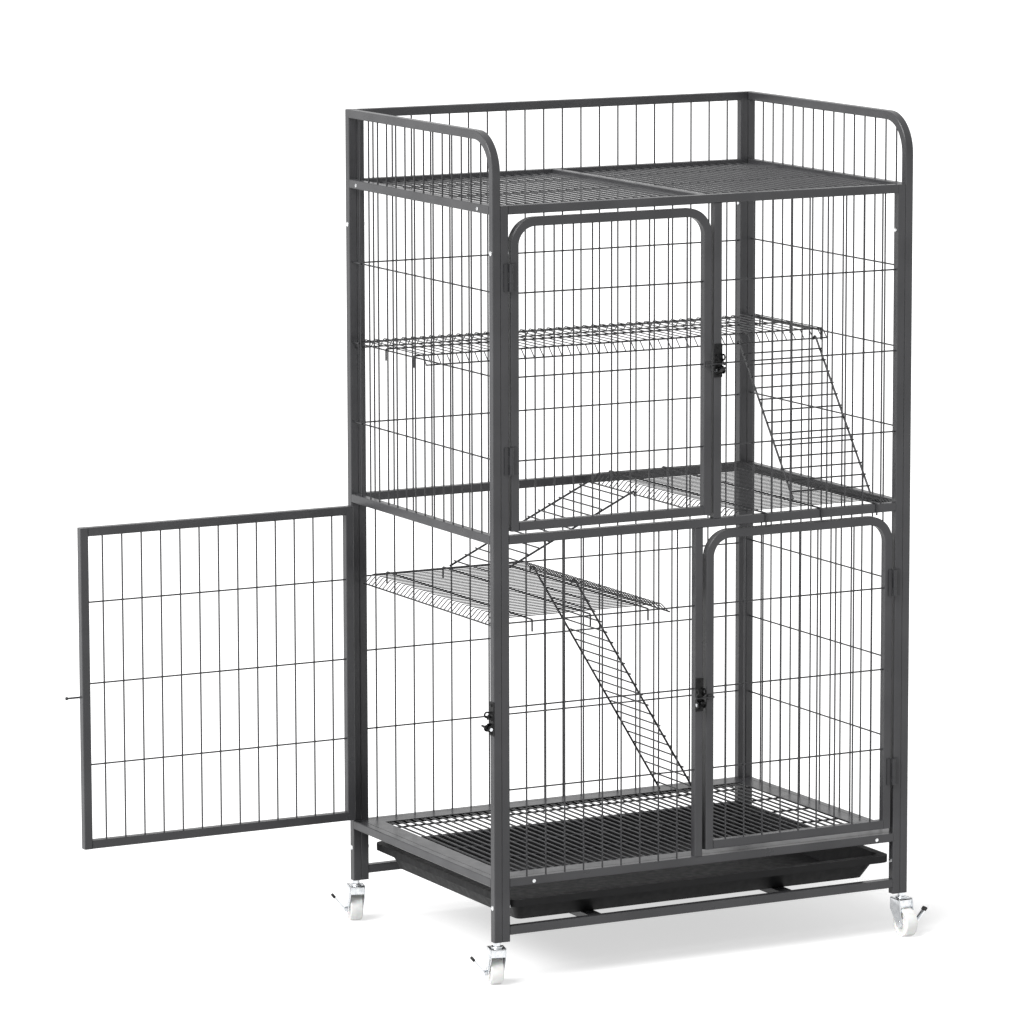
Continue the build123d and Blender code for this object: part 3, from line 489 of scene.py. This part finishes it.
    @staticmethod
    def join(parts: list[bpy.types.Object], name: str, smooth: float = 35) -> bpy.types.Object:
        """Join objects into one named piece.

        Args:
            parts: The objects.
            name: Name of the piece.
            smooth: Edges that turn by less than this, in degrees, are shaded smooth.

        Returns:
            The piece.
        """
        Bench.activate(parts[0])
        for part in parts:
            part.select_set(True)
        if len(parts) > 1:
            bpy.ops.object.join()
        piece = bpy.context.object
        piece.name = name
        piece.data.name = name
        bpy.ops.object.shade_smooth_by_angle(angle=radians(smooth))
        return piece

    @staticmethod
    def put(piece: bpy.types.Object, spot: Point, turn: float) -> bpy.types.Object:
        """Turn a piece about Z by an angle in degrees and move it to a spot."""
        piece.rotation_euler = (0, 0, radians(turn))
        piece.location = metres(spot)
        return Bench.settle(piece)


def dress(piece: bpy.types.Object, body: str, finish: Finish, slot: str, *nodes: str) -> None:
    """Give a piece its finish and tie it to the moving body that it belongs to.

    Args:
        piece: The new piece.
        body: The body that it rides on.
        finish: Its surface.
        slot: The material slot of the record that it stands for; not used.
        nodes: The plain solids that it takes the place of.
    """
    piece.data.materials.clear()
    piece.data.materials.append(finish.material())
    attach(piece, body)
    if nodes:
        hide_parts(*nodes)
    LOG.info("piece %s on %s, %d faces", piece.name, body, len(piece.data.polygons))


class Facing(Enum):
    """Which way a wire panel faces."""

    FRONT = "front"
    SIDE = "side"

    def at(self, along: float, depth: float, level: float) -> Point:
        """Place in the cage of a spot on the panel."""
        if self is Facing.FRONT:
            return (along, depth, level)
        return (depth, along, level)


@dataclass(frozen=True)
class Bay:
    """Wires that fill the opening between four tubes."""

    facing: Facing
    ends: tuple[float, float]
    levels: tuple[float, float]
    depths: tuple[float, float]
    first: float
    pitch: float
    count: int
    crosses: tuple[float, ...] = ()
    shorter: dict[int, float] = field(default_factory=dict)
    wire_radius: float = 1.5

    def upright(self, index: int, top: float, count: int) -> bpy.types.Object:
        """Make a run of upright wires.

        Args:
            index: Which wire of the bay is the first.
            top: Level of their tops.
            count: How many there are.

        Returns:
            The wires as one object.
        """
        along = self.first + self.pitch * index
        wire = Bench.rod(self.facing.at(along, self.depths[0], self.levels[0]),
                         self.facing.at(along, self.depths[0], top), self.wire_radius)
        return Bench.repeat(wire, self.facing.at(self.pitch, 0, 0), count)

    def build(self) -> list[bpy.types.Object]:
        """Make the uprights and, just inside them, the cross wires."""
        full = [index for index in range(self.count) if index not in self.shorter]
        wires = [self.upright(full[0], self.levels[1], len(full))]
        for index, top in self.shorter.items():
            wires.append(self.upright(index, top, 1))
        for level in self.crosses:
            wires.append(Bench.rod(self.facing.at(self.ends[0], self.depths[1], level),
                                   self.facing.at(self.ends[1], self.depths[1], level), self.wire_radius))
        return wires


@dataclass(frozen=True)
class WirePanel:
    """One welded sheet of wires, of one or more bays."""

    name: str
    body: str
    node: str
    bays: list[Bay]

    def build(self) -> None:
        """Make the panel in place of its plain wires."""
        wires = [wire for bay in self.bays for wire in bay.build()]
        dress(Bench.join(wires, self.name), self.body, WIRE_COAT, "wire_coat", self.node)


@dataclass(frozen=True)
class CageWires:
    """All wire panels of the frames and doors."""

    inner_half_depth: float = 284
    bay_half_width: float = 408
    lower: tuple[float, float] = (199, 815)
    upper: tuple[float, float] = (831, 1412)
    guard: tuple[float, float] = (1428, 1543)
    front_pitch: float = 39.2

    def side(self, sign: int, with_lower: bool) -> list[Bay]:
        """List the bays of one side.

        Args:
            sign: -1 for the left side and 1 for the right.
            with_lower: Whether the lower storey has wires.

        Returns:
            The bays, from the guard down.
        """
        def bay(levels: tuple[float, float], crosses: tuple[float, ...], shorter: dict[int, float]) -> Bay:
            """One bay of this side."""
            return Bay(Facing.SIDE, (-self.inner_half_depth, self.inner_half_depth), levels,
                       (sign * 436, sign * 433), -246.35, 37.9, 14, crosses, shorter)

        bays = [bay(self.guard, (), {0: 1538.2}), bay(self.upper, (969, 1120, 1272), {})]
        if with_lower:
            bays.append(bay(self.lower, (372, 524, 676), {}))
        return bays

    def back(self) -> list[Bay]:
        """Bays of the back."""
        def bay(levels: tuple[float, float], crosses: tuple[float, ...]) -> Bay:
            """One bay of the back."""
            return Bay(Facing.FRONT, (-self.bay_half_width, self.bay_half_width), levels, (296, 293),
                       -383.8, 40.4, 20, crosses)

        return [bay(self.guard, ()), bay(self.upper, (965, 1117, 1269)), bay(self.lower, (374, 526, 670))]

    def front(self, ends: tuple[float, float], levels: tuple[float, float], crosses: tuple[float, ...],
              shorter: Optional[dict[int, float]] = None) -> list[Bay]:
        """List the one bay of a panel of nine uprights at the front.

        Args:
            ends: Where its cross wires end.
            levels: Where its uprights end.
            crosses: Levels of its cross wires.
            shorter: Tops of the uprights that end below the others.

        Returns:
            The bay, in a list.
        """
        first = (ends[0] + ends[1]) / 2 - 4 * self.front_pitch
        return [Bay(Facing.FRONT, ends, levels, (-296, -293), first, self.front_pitch, 9, crosses, shorter or {})]

    def build(self) -> None:
        """Make every panel."""
        upper_crosses = (965, 1117, 1269)
        lower_crosses = (362.5, 515, 670)
        side_door = [Bay(Facing.FRONT, (-990.2, -462.2), (222, 795), (264.8, 267.8), -961.4,
                         self.front_pitch, 13, (365, 518, 671))]
        panels = [
            WirePanel("left_side_mesh", "cage", "left_side_wires", self.side(-1, False)),
            WirePanel("right_side_mesh", "cage", "right_side_wires", self.side(1, True)),
            WirePanel("back_mesh", "cage", "back_wires", self.back()),
            WirePanel("front_upper_mesh", "cage", "front_upper_wires",
                      self.front((32, self.bay_half_width), self.upper, upper_crosses)),
            WirePanel("front_lower_mesh", "cage", "front_lower_wires",
                      self.front((-self.bay_half_width, -22), self.lower, lower_crosses)),
            WirePanel("upper_door_mesh", "upper_door", "upper_door_wires",
                      self.front((-387, -5), (854, 1389), upper_crosses, {0: 1388.8, 8: 1388.8})),
            WirePanel("lower_door_mesh", "lower_door", "lower_door_wires",
                      self.front((17.5, 386), (226, 792), lower_crosses, {0: 790.8, 8: 790.8})),
            WirePanel("side_door_mesh", "side_door", "side_door_wires", side_door),
        ]
        for panel in panels:
            panel.build()


class Lay(Enum):
    """Which way the fine wires of a shelf run."""

    ACROSS = "across"
    DEEP = "deep"

    def at(self, run: float, side: float, level: float) -> Point:
        """Place in the cage of a spot along the fine wires, beside them and up."""
        if self is Lay.ACROSS:
            return (run, side, level)
        return (side, run, level)


@dataclass(frozen=True)
class Shelf:
    """Fine wires with turned-down lips, a lip wire under each, and hooked stiffeners."""

    name: str
    node: str
    lay: Lay
    bends: tuple[float, float]
    carried_at: float
    fine_sides: tuple[float, float, int]
    extra_sides: tuple[float, ...]
    lip_half: float
    stiffener_runs: tuple[float, ...]
    hook_half: float
    fine_radius: float = 1.0
    stiffener: float = 3.4
    lip_drop: float = 16.5
    lip_radius: float = 1.5
    hook_drop: float = 22

    def fine_wire(self, side: float) -> bpy.types.Object:
        """Make a fine wire, turned down at both ends.

        Args:
            side: Its place across the shelf.

        Returns:
            The wire.
        """
        level = self.carried_at + self.stiffener + self.fine_radius
        drop = self.lip_drop - 0.9
        left, right = self.bends
        points = [self.lay.at(left - drop, side, level - drop), self.lay.at(left, side, level),
                  self.lay.at(right, side, level), self.lay.at(right + drop, side, level - drop)]
        return Bench.bent(points, self.fine_radius, 2.5)

    def build(self) -> None:
        """Make the shelf in place of its plain wires."""
        first, pitch, count = self.fine_sides
        level = self.carried_at + self.stiffener + self.fine_radius
        parts = [Bench.repeat(self.fine_wire(first), self.lay.at(0, pitch, 0), count)]
        parts += [self.fine_wire(side) for side in self.extra_sides]
        for run in (self.bends[0] - self.lip_drop, self.bends[1] + self.lip_drop):
            parts.append(Bench.rod(self.lay.at(run, -self.lip_half, level - self.lip_drop),
                                   self.lay.at(run, self.lip_half, level - self.lip_drop), self.lip_radius))
        top = self.carried_at + self.stiffener / 2
        for run in self.stiffener_runs:
            points = [self.lay.at(run, -self.hook_half, top - self.hook_drop), self.lay.at(run, -self.hook_half, top),
                      self.lay.at(run, self.hook_half, top), self.lay.at(run, self.hook_half, top - self.hook_drop)]
            parts.append(Bench.bent(points, self.stiffener / 2, 2.2))
        dress(Bench.join(parts, self.name), "cage", FINE_COAT, "wire_coat", self.node)


class Lean(Enum):
    """Which way a ladder runs from its hook to its foot."""

    FORWARD = "forward"
    LEFT = "left"
    RIGHT = "right"

    def at(self, run: float, side: float, level: float) -> Point:
        """Place in the cage of a spot of the ladder."""
        if self is Lean.FORWARD:
            return (side, -run, level)
        if self is Lean.LEFT:
            return (-run, side, level)
        return (run, side, level)


@dataclass(frozen=True)
class Ladder:
    """Two rails hooked over a lip wire, with rungs laid on their upper side."""

    name: str
    node: str
    body: str
    lean: Lean
    rails: tuple[float, float]
    lip: tuple[float, float]
    foot: tuple[float, float]
    rung_count: int
    rail_radius: float = 2.0
    rung_radius: float = 1.5
    hook_radius: float = 4.3
    rung_pitch: float = 25
    first_rung: float = 14

    def build(self) -> None:
        """Make the ladder in place of its plain wires."""
        centre, foot = Vector(self.lip), Vector(self.foot)
        span = foot - centre
        slope = atan2(span.y, span.x) - asin(self.hook_radius / span.length)
        run = Vector((cos(slope), sin(slope)))
        upper = Vector((-run.y, run.x))
        line = [foot]
        for step in range(11):
            turn = slope + pi / 2 + pi * step / 10
            line.append(centre + Vector((cos(turn), sin(turn))) * self.hook_radius)
        parts = []
        for rail in self.rails:
            parts.append(Bench.follow([Vector(self.lean.at(spot.x, rail, spot.y)) for spot in line],
                                      self.rail_radius))
        spot = foot - run * self.first_rung + upper * (self.rail_radius + self.rung_radius)
        low, high = min(self.rails) - self.rail_radius, max(self.rails) + self.rail_radius
        rung = Bench.rod(self.lean.at(spot.x, low, spot.y), self.lean.at(spot.x, high, spot.y), self.rung_radius)
        step = -run * self.rung_pitch
        parts.append(Bench.repeat(rung, self.lean.at(step.x, 0, step.y), self.rung_count))
        dress(Bench.join(parts, self.name), self.body, FINE_COAT, "wire_coat", self.node)


@dataclass(frozen=True)
class Decks:
    """Shelves, ladders, the floor's grid and the roof's two panels."""

    roof_level: float = 1420
    floor_level: float = 196
    wire: float = 3.6

    def grid(self, name: str, node: str, first: Point, far: float, step: float, count: int,
             tie_from: float, tie_to: float, ties: tuple[float, ...]) -> None:
        """Make parallel wires front to back, with tie wires welded under them.

        Args:
            name: Name of the piece.
            node: The plain solid that it takes the place of.
            first: Front end of the first wire.
            far: Depth of the wires' back ends.
            step: Their pitch.
            count: How many there are.
            tie_from: Left end of the tie wires.
            tie_to: Their right end.
            ties: Their depths.
        """
        radius = self.wire / 2
        x, near, level = first
        parts = [Bench.repeat(Bench.rod((x, near, level), (x, far, level), radius), (step, 0, 0), count)]
        for y in ties:
            parts.append(Bench.rod((tie_from, y, level - self.wire), (tie_to, y, level - self.wire), radius))
        dress(Bench.join(parts, name), "cage", WIRE_COAT, "wire_coat", node)

    def build(self) -> None:
        """Make every deck and ladder."""
        lip_wire_tip = 1.732
        Shelf("lower_shelf_wirework", "lower_shelf", Lay.ACROSS, (-403, -79), 670 + lip_wire_tip,
              (-270, 15, 37), (), 275, (-360, -240, -120), 296.2).build()
        Shelf("middle_shelf_wirework", "middle_shelf", Lay.ACROSS, (83, 404.5), 831,
              (-270, 15, 37), (), 275, (126, 245, 365), 301.7).build()
        Shelf("upper_shelf_wirework", "upper_shelf", Lay.DEEP, (5, 265), 1120 + lip_wire_tip,
              (-417.1, 19.4, 44), (-428, 428), 429, (24, 140, 256), 436.2).build()
        Ladder("upper_ladder_wirework", "upper_ladder", "upper_ladder", Lean.FORWARD, (233.5, 401.5),
               (11.5, 1109.632), (218.5, 838.9), 13).build()
        Ladder("middle_ladder_wirework", "middle_ladder", "middle_ladder", Lean.LEFT, (98.5, 266.5),
               (-66.5, 818.9), (240.5, 679.632), 13).build()
        Ladder("lower_ladder_wirework", "lower_ladder", "lower_ladder", Lean.RIGHT, (98.5, 266.5),
               (-62.5, 659.632), (219.5, 200.0), 20).build()
        self.grid("floor_mesh", "floor_grid", (-393.75, -260, self.floor_level), 260, 17.5, 46, -400, 400,
                  (-220, -110, 0, 110, 220))
        self.grid("roof_mesh_left", "roof_panel_left", (-410.6, -284, self.roof_level), 284, 18.6, 22,
                  -424, -8, (-190, 0, 190))
        self.grid("roof_mesh_right", "roof_panel_right", (20, -284, self.roof_level), 284, 18.6, 22,
                  8, 424, (-190, 0, 190))


@dataclass(frozen=True)
class Caster:
    """A nylon wheel with recessed sides and a brake lever with a rubber tip."""

    name: str
    swivel: tuple[float, float]
    angle: float
    wheel_radius: float = 26.5
    wheel_width: float = 24
    trail: float = 16
    pivot: tuple[float, float] = (18.6, 21)
    rise: float = 50
    lever_width: float = 10.4
    lever_length: float = 38
    fork_half: float = 15
    cheek: float = 1.8
    fork_top: float = 72
    plate: tuple[float, float] = (-17, 16)
    top_sheet: float = 3
    skirt: tuple[float, float] = (1.6, 16)
    shoulder: float = 22
    hub_radius: float = 9.5
    axle_radius: float = 2.9
    axle_head: tuple[float, float, float] = (14.8, 16.1, 3.9)
    race: tuple[float, float] = (11, 75)
    ears: tuple[float, float] = (9.75, 22.25)
    ear_size: Point = (7, 1.5, 8)
    pin_radius: float = 1.15
    strip: float = 3
    curl_radius: float = 2.4
    pad: Point = (8, 2, 5)
    rib_pitch: float = 2.5
    rib_radius: float = 0.6

    def centre(self, level: float) -> Point:
        """Spot on the wheel's middle line, at a level."""
        turn = radians(self.angle)
        return (self.swivel[0] + self.trail * sin(turn), self.swivel[1] - self.trail * cos(turn), level)

    def wheel(self) -> bpy.types.Object:
        """Wheel with a rounded tread, a recess in each side and a raised hub.

        Returns:
            The wheel, at the caster's place and angle.
        """
        half = self.wheel_width / 2
        wheel = Bench.rod((-half, 0, 0), (half, 0, 0), self.wheel_radius, 64)
        Bench.round_edges(wheel, 2.4, 4)
        Bench.step_faces(wheel, lambda face: abs(face.normal.x) > 0.99,
                         [(1.6, 0), (0.8, -3.0), (12.4, 0), (0.7, 2.4)])
        Bench.join([wheel], f"nylon_wheel_{self.name}")
        return Bench.put(wheel, self.centre(self.wheel_radius), self.angle)

    def fork(self) -> bpy.types.Object:
        """Pressed fork with its axle, its race and the ears that hold the lever's pin.

        Returns:
            The fork, at the caster's place and angle.
        """
        near, far = self.plate
        depth, middle = far - near, (far + near) / 2
        sheet, drop = self.skirt
        tread, hub_level = -self.trail, self.wheel_radius
        parts = [Bench.block((0, middle, self.fork_top - self.top_sheet / 2),
                             (2 * self.fork_half, depth, self.top_sheet))]
        for edge in (near + sheet / 2, far - sheet / 2):
            parts.append(Bench.block((0, edge, self.fork_top - drop / 2), (2 * self.fork_half - 1, sheet, drop)))
        parts = [Bench.round_edges(part, 0.7, 2) for part in parts]
        head_from, head_to, head_radius = self.axle_head
        for side in (-1, 1):
            inner, outer = side * (self.fork_half - self.cheek), side * self.fork_half
            shoulder = Bench.block(((inner + outer) / 2, middle, self.fork_top - self.shoulder / 2),
                                   (self.cheek, depth, self.shoulder))
            hub = Bench.rod((inner, tread, hub_level), (outer, tread, hub_level), self.hub_radius, 32)
            parts.append(Bench.round_edges(Bench.hull([shoulder, hub]), 0.5, 2))
            head = Bench.rod((side * head_from, tread, hub_level), (side * head_to, tread, hub_level),
                             head_radius, 24)
            parts.append(Bench.round_edges(head, 0.6, 2))
        end = self.fork_half - 1
        parts.append(Bench.rod((-end, tread, hub_level), (end, tread, hub_level), self.axle_radius, 20))
        race_radius, race_top = self.race
        race = Bench.rod((0, 0, self.fork_top - 0.5), (0, 0, race_top), race_radius, 40)
        parts.append(Bench.round_edges(race, 1.0, 3))
        out, up = self.pivot
        for distance in self.ears:
            parts.append(Bench.round_edges(Bench.block((out - 1.1, -distance, up), self.ear_size), 0.5, 2))
        pin_ends = self.ears[0] - self.ear_size[1] / 2, self.ears[1] + self.ear_size[1] / 2
        parts.append(Bench.rod((out, -pin_ends[0], up), (out, -pin_ends[1], up), self.pin_radius, 12))
        fork = Bench.join(parts, f"pressed_fork_{self.name}")
        return Bench.put(fork, (self.swivel[0], self.swivel[1], 0), self.angle)

    def lever(self) -> tuple[bpy.types.Object, bpy.types.Object]:
        """Steel strip curled round its pin, and the ribbed rubber on its end.

        Returns:
            The strip and the rubber.
        """
        out, up = self.pivot
        away = (cos(radians(self.rise)), sin(radians(self.rise)))

        def spot(distance: float, lift: float = 0.0, side: float = 0.0) -> Point:
            """Place on the lever, a distance from its pin and a lift off its middle plane."""
            return (out + away[0] * distance - away[1] * lift, side, up + away[1] * distance + away[0] * lift)

        half = self.lever_width / 2
        length = self.lever_length - 1
        strip = Bench.block(spot(1 + length / 2), (length, self.lever_width, self.strip), -self.rise)
        Bench.round_edges(strip, 0.5, 2)
        curl = Bench.rod((out, -half, up), (out, half, up), self.curl_radius, 24)
        steel = Bench.join([strip, curl], f"brake_strip_{self.name}")
        long, wider, thick = self.pad
        rubber_parts = [Bench.block(spot(self.lever_length + 2 - long / 2), (long, self.lever_width + wider, thick),
                                    -self.rise)]
        Bench.round_edges(rubber_parts[0], 1.2, 3)
        for rib in (-1, 0, 1):
            along = self.lever_length - 2 + rib * self.rib_pitch
            lift = thick / 2 - 0.15
            rubber_parts.append(Bench.rod(spot(along, lift, -half + 0.4), spot(along, lift, half - 0.4),
                                          self.rib_radius, 10))
        rubber = Bench.join(rubber_parts, f"brake_pad_{self.name}")
        base = self.centre(0)
        return Bench.put(steel, base, self.angle), Bench.put(rubber, base, self.angle)

    def build(self) -> None:
        """Make the caster's pieces."""
        dress(self.fork(), f"swivel_{self.name}", ZINC, "zinc", f"caster_fork_{self.name}")
        dress(self.wheel(), f"wheel_{self.name}", NYLON, "wheel_nylon", f"caster_wheel_{self.name}")
        steel, rubber = self.lever()
        dress(steel, f"brake_{self.name}", ZINC, "zinc", f"caster_lever_{self.name}")
        dress(rubber, f"brake_{self.name}", RUBBER, "latch_black")


@dataclass(frozen=True)
class Fasteners:
    """Domed bolt heads with their nuts, and pan-head screws with a cross recess."""

    bolt_radius: float = 4.5
    nut_radius: float = 4.6
    nut_height: float = 2.3
    screw_radius: float = 3.4

    def dome(self, radius: float, height: float) -> bpy.types.Object:
        """Make a domed head that stands on the origin along Z.

        Args:
            radius: Radius of the head.
            height: Its height.

        Returns:
            The head.
        """
        head = Bench.rod((0, 0, 0), (0, 0, height * 0.45), radius, 32)
        return Bench.step_faces(head, lambda face: face.normal.z > 0.99,
                                [(radius * 0.12, height * 0.25), (radius * 0.2, height * 0.18),
                                 (radius * 0.25, height * 0.1), (radius * 0.25, height * 0.02)])

    def cross_head(self, radius: float, height: float) -> bpy.types.Object:
        """Make a domed head with a cross recess.

        Args:
            radius: Radius of the head.
            height: Its height.

        Returns:
            The head.
        """
        head = self.dome(radius, height)
        for wide, deep in ((1.1, 0.24), (0.24, 1.1)):
            Bench.cut(head, Bench.block((0, 0, height), (radius * wide, radius * deep, height)))
        return head

    def aim(self, piece: bpy.types.Object, spot: Point, outward: Point) -> bpy.types.Object:
        """Stand a piece on a spot.

        Args:
            piece: The piece, made along Z.
            spot: Where it stands.
            outward: The way that its top faces.

        Returns:
            The same object.
        """
        piece.rotation_euler = Vector(outward).to_track_quat("Z", "Y").to_euler()
        piece.location = metres(spot)
        return Bench.settle(piece)

    def bolts(self) -> None:
        """Bolts that join the side frames to the front and back frames."""
        parts = []
        for side in (-1, 1):
            for y in (-292, 292):
                for z in (146, 1343):
                    parts.append(self.aim(self.dome(self.bolt_radius, 2), (side * 440, y, z), (side, 0, 0)))
                    nut = Bench.round_edges(Bench.rod((0, 0, 0), (0, 0, self.nut_height), self.nut_radius, 6), 0.4, 2)
                    parts.append(self.aim(nut, (side * 408, y, z), (-side, 0, 0)))
        dress(Bench.join(parts, "bolt_heads_and_nuts"), "cage", HEAD_ZINC, "fastener", "frame_bolts")

    def panel_screws(self) -> None:
        """Screws of the roof panels and the floor."""
        spots = [((side * 440, y, 1419), (side, 0, 0)) for side in (-1, 1) for y in (255, -240)]
        spots += [((x, -300, 190), (0, -1, 0)) for x in (-359, 372)]
        parts = [self.aim(self.cross_head(self.screw_radius, 1.5), spot, outward) for spot, outward in spots]
        dress(Bench.join(parts, "panel_screw_heads"), "cage", HEAD_ZINC, "fastener", "panel_screws")

    def latch_screws(self) -> None:
        """Two screws in the plate of each latch."""
        faces = (((24, -301.6, 1117), (0, -1, 0)), ((-14, -301.6, 498), (0, -1, 0)), ((-441.6, -292, 491), (-1, 0, 0)))
        parts = []
        for (x, y, z), outward in faces:
            for up in (-21, 31):
                parts.append(self.aim(self.cross_head(self.screw_radius, 1.6), (x, y, z + up), outward))
        dress(Bench.join(parts, "latch_screw_heads"), "cage", ENAMEL, "latch_black", "latch_screws")

    def build(self) -> None:
        """Make all fasteners."""
        self.bolts()
        self.panel_screws()
        self.latch_screws()


@dataclass(frozen=True)
class Striker:
    """Thin rod with a knob, welded to a pad at a door's free edge."""

    name: str
    body: str
    edge: float
    toward: int
    face: float
    outward: int
    level: float
    rod_radius: float = 1.8
    knob_radius: float = 3.1
    stand_off: float = 4.7
    reach: float = 26
    overlap: float = 14
    pad: Point = (12, 3, 10)
    pad_inset: float = 8
    knob_length: float = 4.5

    def build(self) -> None:
        """Make the striker in place of its plain rod."""
        rod_y = self.face + self.outward * self.stand_off
        pad_y = self.face + self.outward * self.pad[1] / 2
        start, tip = self.edge - self.toward * self.overlap, self.edge + self.toward * self.reach
        pad = Bench.block((self.edge - self.toward * self.pad_inset, pad_y, self.level), self.pad)
        rod = Bench.rod((start, rod_y, self.level), (tip - self.toward, rod_y, self.level), self.rod_radius, 16)
        knob = Bench.rod((tip - self.toward * self.knob_length, rod_y, self.level), (tip, rod_y, self.level),
                         self.knob_radius, 24)
        parts = [Bench.round_edges(pad, 0.8, 2), rod, Bench.round_edges(knob, 1.3, 4)]
        dress(Bench.join(parts, f"{self.name}_rod"), self.body, WIRE_COAT, "hinge_steel", self.name)


@dataclass(frozen=True)
class Solids:
    """The solids that keep their own shape and get their real finish."""

    finishes: tuple[tuple[Finish, tuple[str, ...]], ...] = (
        (TUBE_COAT, ("left_side_frame", "right_side_frame", "front_frame", "back_frame", "roof_centre_bar",
                     "floor_ledge", "tray_runners", "upper_door_frame", "lower_door_frame", "side_door_frame")),
        (WIRE_COAT, ("frame_hinge_leaves", "upper_door_hinge_leaves", "lower_door_hinge_leaves",
                     "side_door_hinge_leaves")),
        (ENAMEL, ("latch_brackets", "upper_latch_pawl", "lower_latch_pawl", "side_latch_pawl")),
        (ZINC, ("latch_pins", "caster_stems")),
        (TRAY_PLASTIC, ("tray",)),
    )

    def build(self) -> None:
        """Assign the finishes."""
        for finish, nodes in self.finishes:
            for node in nodes:
                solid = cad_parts[node]
                if not solid.material_slots:
                    solid.data.materials.append(None)
                for slot in solid.material_slots:
                    slot.material = finish.material()
                LOG.info("solid %s in %s", node, finish.name)


@dataclass(frozen=True)
class Viewpoint:
    """The camera, found by fitting the cage's tube corners in the photograph."""

    azimuth: float = -27.617
    elevation: float = 8.92
    roll: float = -0.147
    target: Point = (0, 0, 807)
    distance: float = 10304.478
    aside: float = -217.575
    above: float = -3.657
    lens: float = 192.203

    def build(self) -> None:
        """Place the camera."""
        turn, lift, roll = radians(self.azimuth), radians(self.elevation), radians(self.roll)
        right = Vector((cos(turn), sin(turn), 0))
        back = Vector((sin(turn) * cos(lift), -cos(turn) * cos(lift), sin(lift)))
        up = back.cross(right)
        place = Vector(self.target) + back * self.distance + right * self.aside + up * self.above
        rolled_right = right * cos(roll) + up * sin(roll)
        rolled_up = up * cos(roll) - right * sin(roll)
        facing = Matrix((rolled_right, rolled_up, back)).transposed()
        bpy.ops.object.camera_add(location=place / 1000, rotation=facing.to_euler())
        camera = bpy.context.object
        camera.name = "photo_camera"
        camera.data.lens = self.lens
        camera.data.clip_end = 300
        bpy.context.scene.camera = camera


@dataclass(frozen=True)
class Studio:
    """White sweep, even light all round and one soft key from the left."""

    ambient: float = 0.36
    key_strength: float = 3.6
    key_from: Point = (-0.85, -0.25, 0.95)
    key_softness: float = 40
    floor_tone: str = "#dcdcdc"
    floor_lift: float = 0.6

    def seen(self, tree: bpy.types.NodeTree, unseen: float, seen: float) -> bpy.types.NodeSocket:
        """Make a strength that differs for the rays that show the background.

        Args:
            tree: The node tree.
            unseen: Strength for the rays that light the cage.
            seen: Strength for what the camera, a gloss or a clear piece shows.

        Returns:
            The strength.
        """
        path = add_node(tree, "ShaderNodeLightPath")
        first = add_node(tree, "ShaderNodeMath", {0: path.outputs["Is Camera Ray"],
                                                  1: path.outputs["Is Glossy Ray"]}, {"operation": "ADD"})
        both = add_node(tree, "ShaderNodeMath", {0: first.outputs[0],
                                                 1: path.outputs["Is Transmission Ray"]}, {"operation": "ADD"})
        strength = add_node(tree, RANGE, {"Value": both.outputs[0], "From Min": 0, "From Max": 1,
                                          "To Min": unseen, "To Max": seen})
        return strength.outputs["Result"]

    def world(self) -> None:
        """Even light from all round."""
        world = bpy.data.worlds.new("white_room")
        bpy.context.scene.world = world
        world.use_nodes = True
        tree = world.node_tree
        tree.nodes.clear()
        light = add_node(tree, "ShaderNodeBackground", {
            "Color": (1, 1, 1, 1), "Strength": self.seen(tree, self.ambient, 1.0)})
        add_node(tree, "ShaderNodeOutputWorld", {"Surface": light.outputs[0]})

    def floor(self) -> None:
        """Wide pale floor that reads as white and keeps the shadow."""
        bpy.ops.object.select_all(action="DESELECT")
        bpy.ops.mesh.primitive_plane_add(size=160, location=(0, 0, 0))
        floor = bpy.context.object
        floor.name = "studio_floor"
        paper = bpy.data.materials.new("matte_white_paper")
        paper.use_nodes = True
        tree = paper.node_tree
        tree.nodes.clear()
        matte = add_node(tree, "ShaderNodeBsdfDiffuse", {"Color": colour(self.floor_tone)})
        lift = add_node(tree, "ShaderNodeEmission", {
            "Color": (1, 1, 1, 1), "Strength": self.seen(tree, 0.0, self.floor_lift)})
        both = add_node(tree, "ShaderNodeAddShader", {0: matte.outputs[0], 1: lift.outputs[0]})
        add_node(tree, "ShaderNodeOutputMaterial", {"Surface": both.outputs[0]})
        floor.data.materials.append(paper)

    def key(self) -> None:
        """Soft key light from the left, a little forward."""
        aim = Vector(self.key_from).to_track_quat("Z", "Y").to_euler()
        bpy.ops.object.light_add(type="SUN", location=(-4, -2, 5), rotation=aim)
        lamp = bpy.context.object
        lamp.name = "soft_key"
        lamp.data.energy = self.key_strength
        lamp.data.angle = radians(self.key_softness)

    def build(self) -> None:
        """Set up the studio."""
        bpy.context.scene.view_settings.view_transform = "Standard"
        self.world()
        self.floor()
        self.key()


def main() -> None:
    """Build everything in order."""
    logging.basicConfig(level=logging.INFO, format="%(message)s")
    Viewpoint().build()
    Studio().build()
    Solids().build()
    CageWires().build()
    Decks().build()
    for name, swivel, angle in (("front_left", (-432, -292), 164.4), ("front_right", (432, -292), 0.0),
                                ("back_left", (-432, 292), 164.4), ("back_right", (432, 292), 15.0)):
        Caster(name, swivel, angle).build()
    Fasteners().build()
    Striker("upper_door_striker", "upper_door", 11, 1, -300, -1, 1117).build()
    Striker("lower_door_striker", "lower_door", 1.5, -1, -300, -1, 498).build()
    Striker("side_door_striker", "side_door", -1006.2, -1, 277.8, 1, 491).build()


if __name__ == "__main__":
    main()
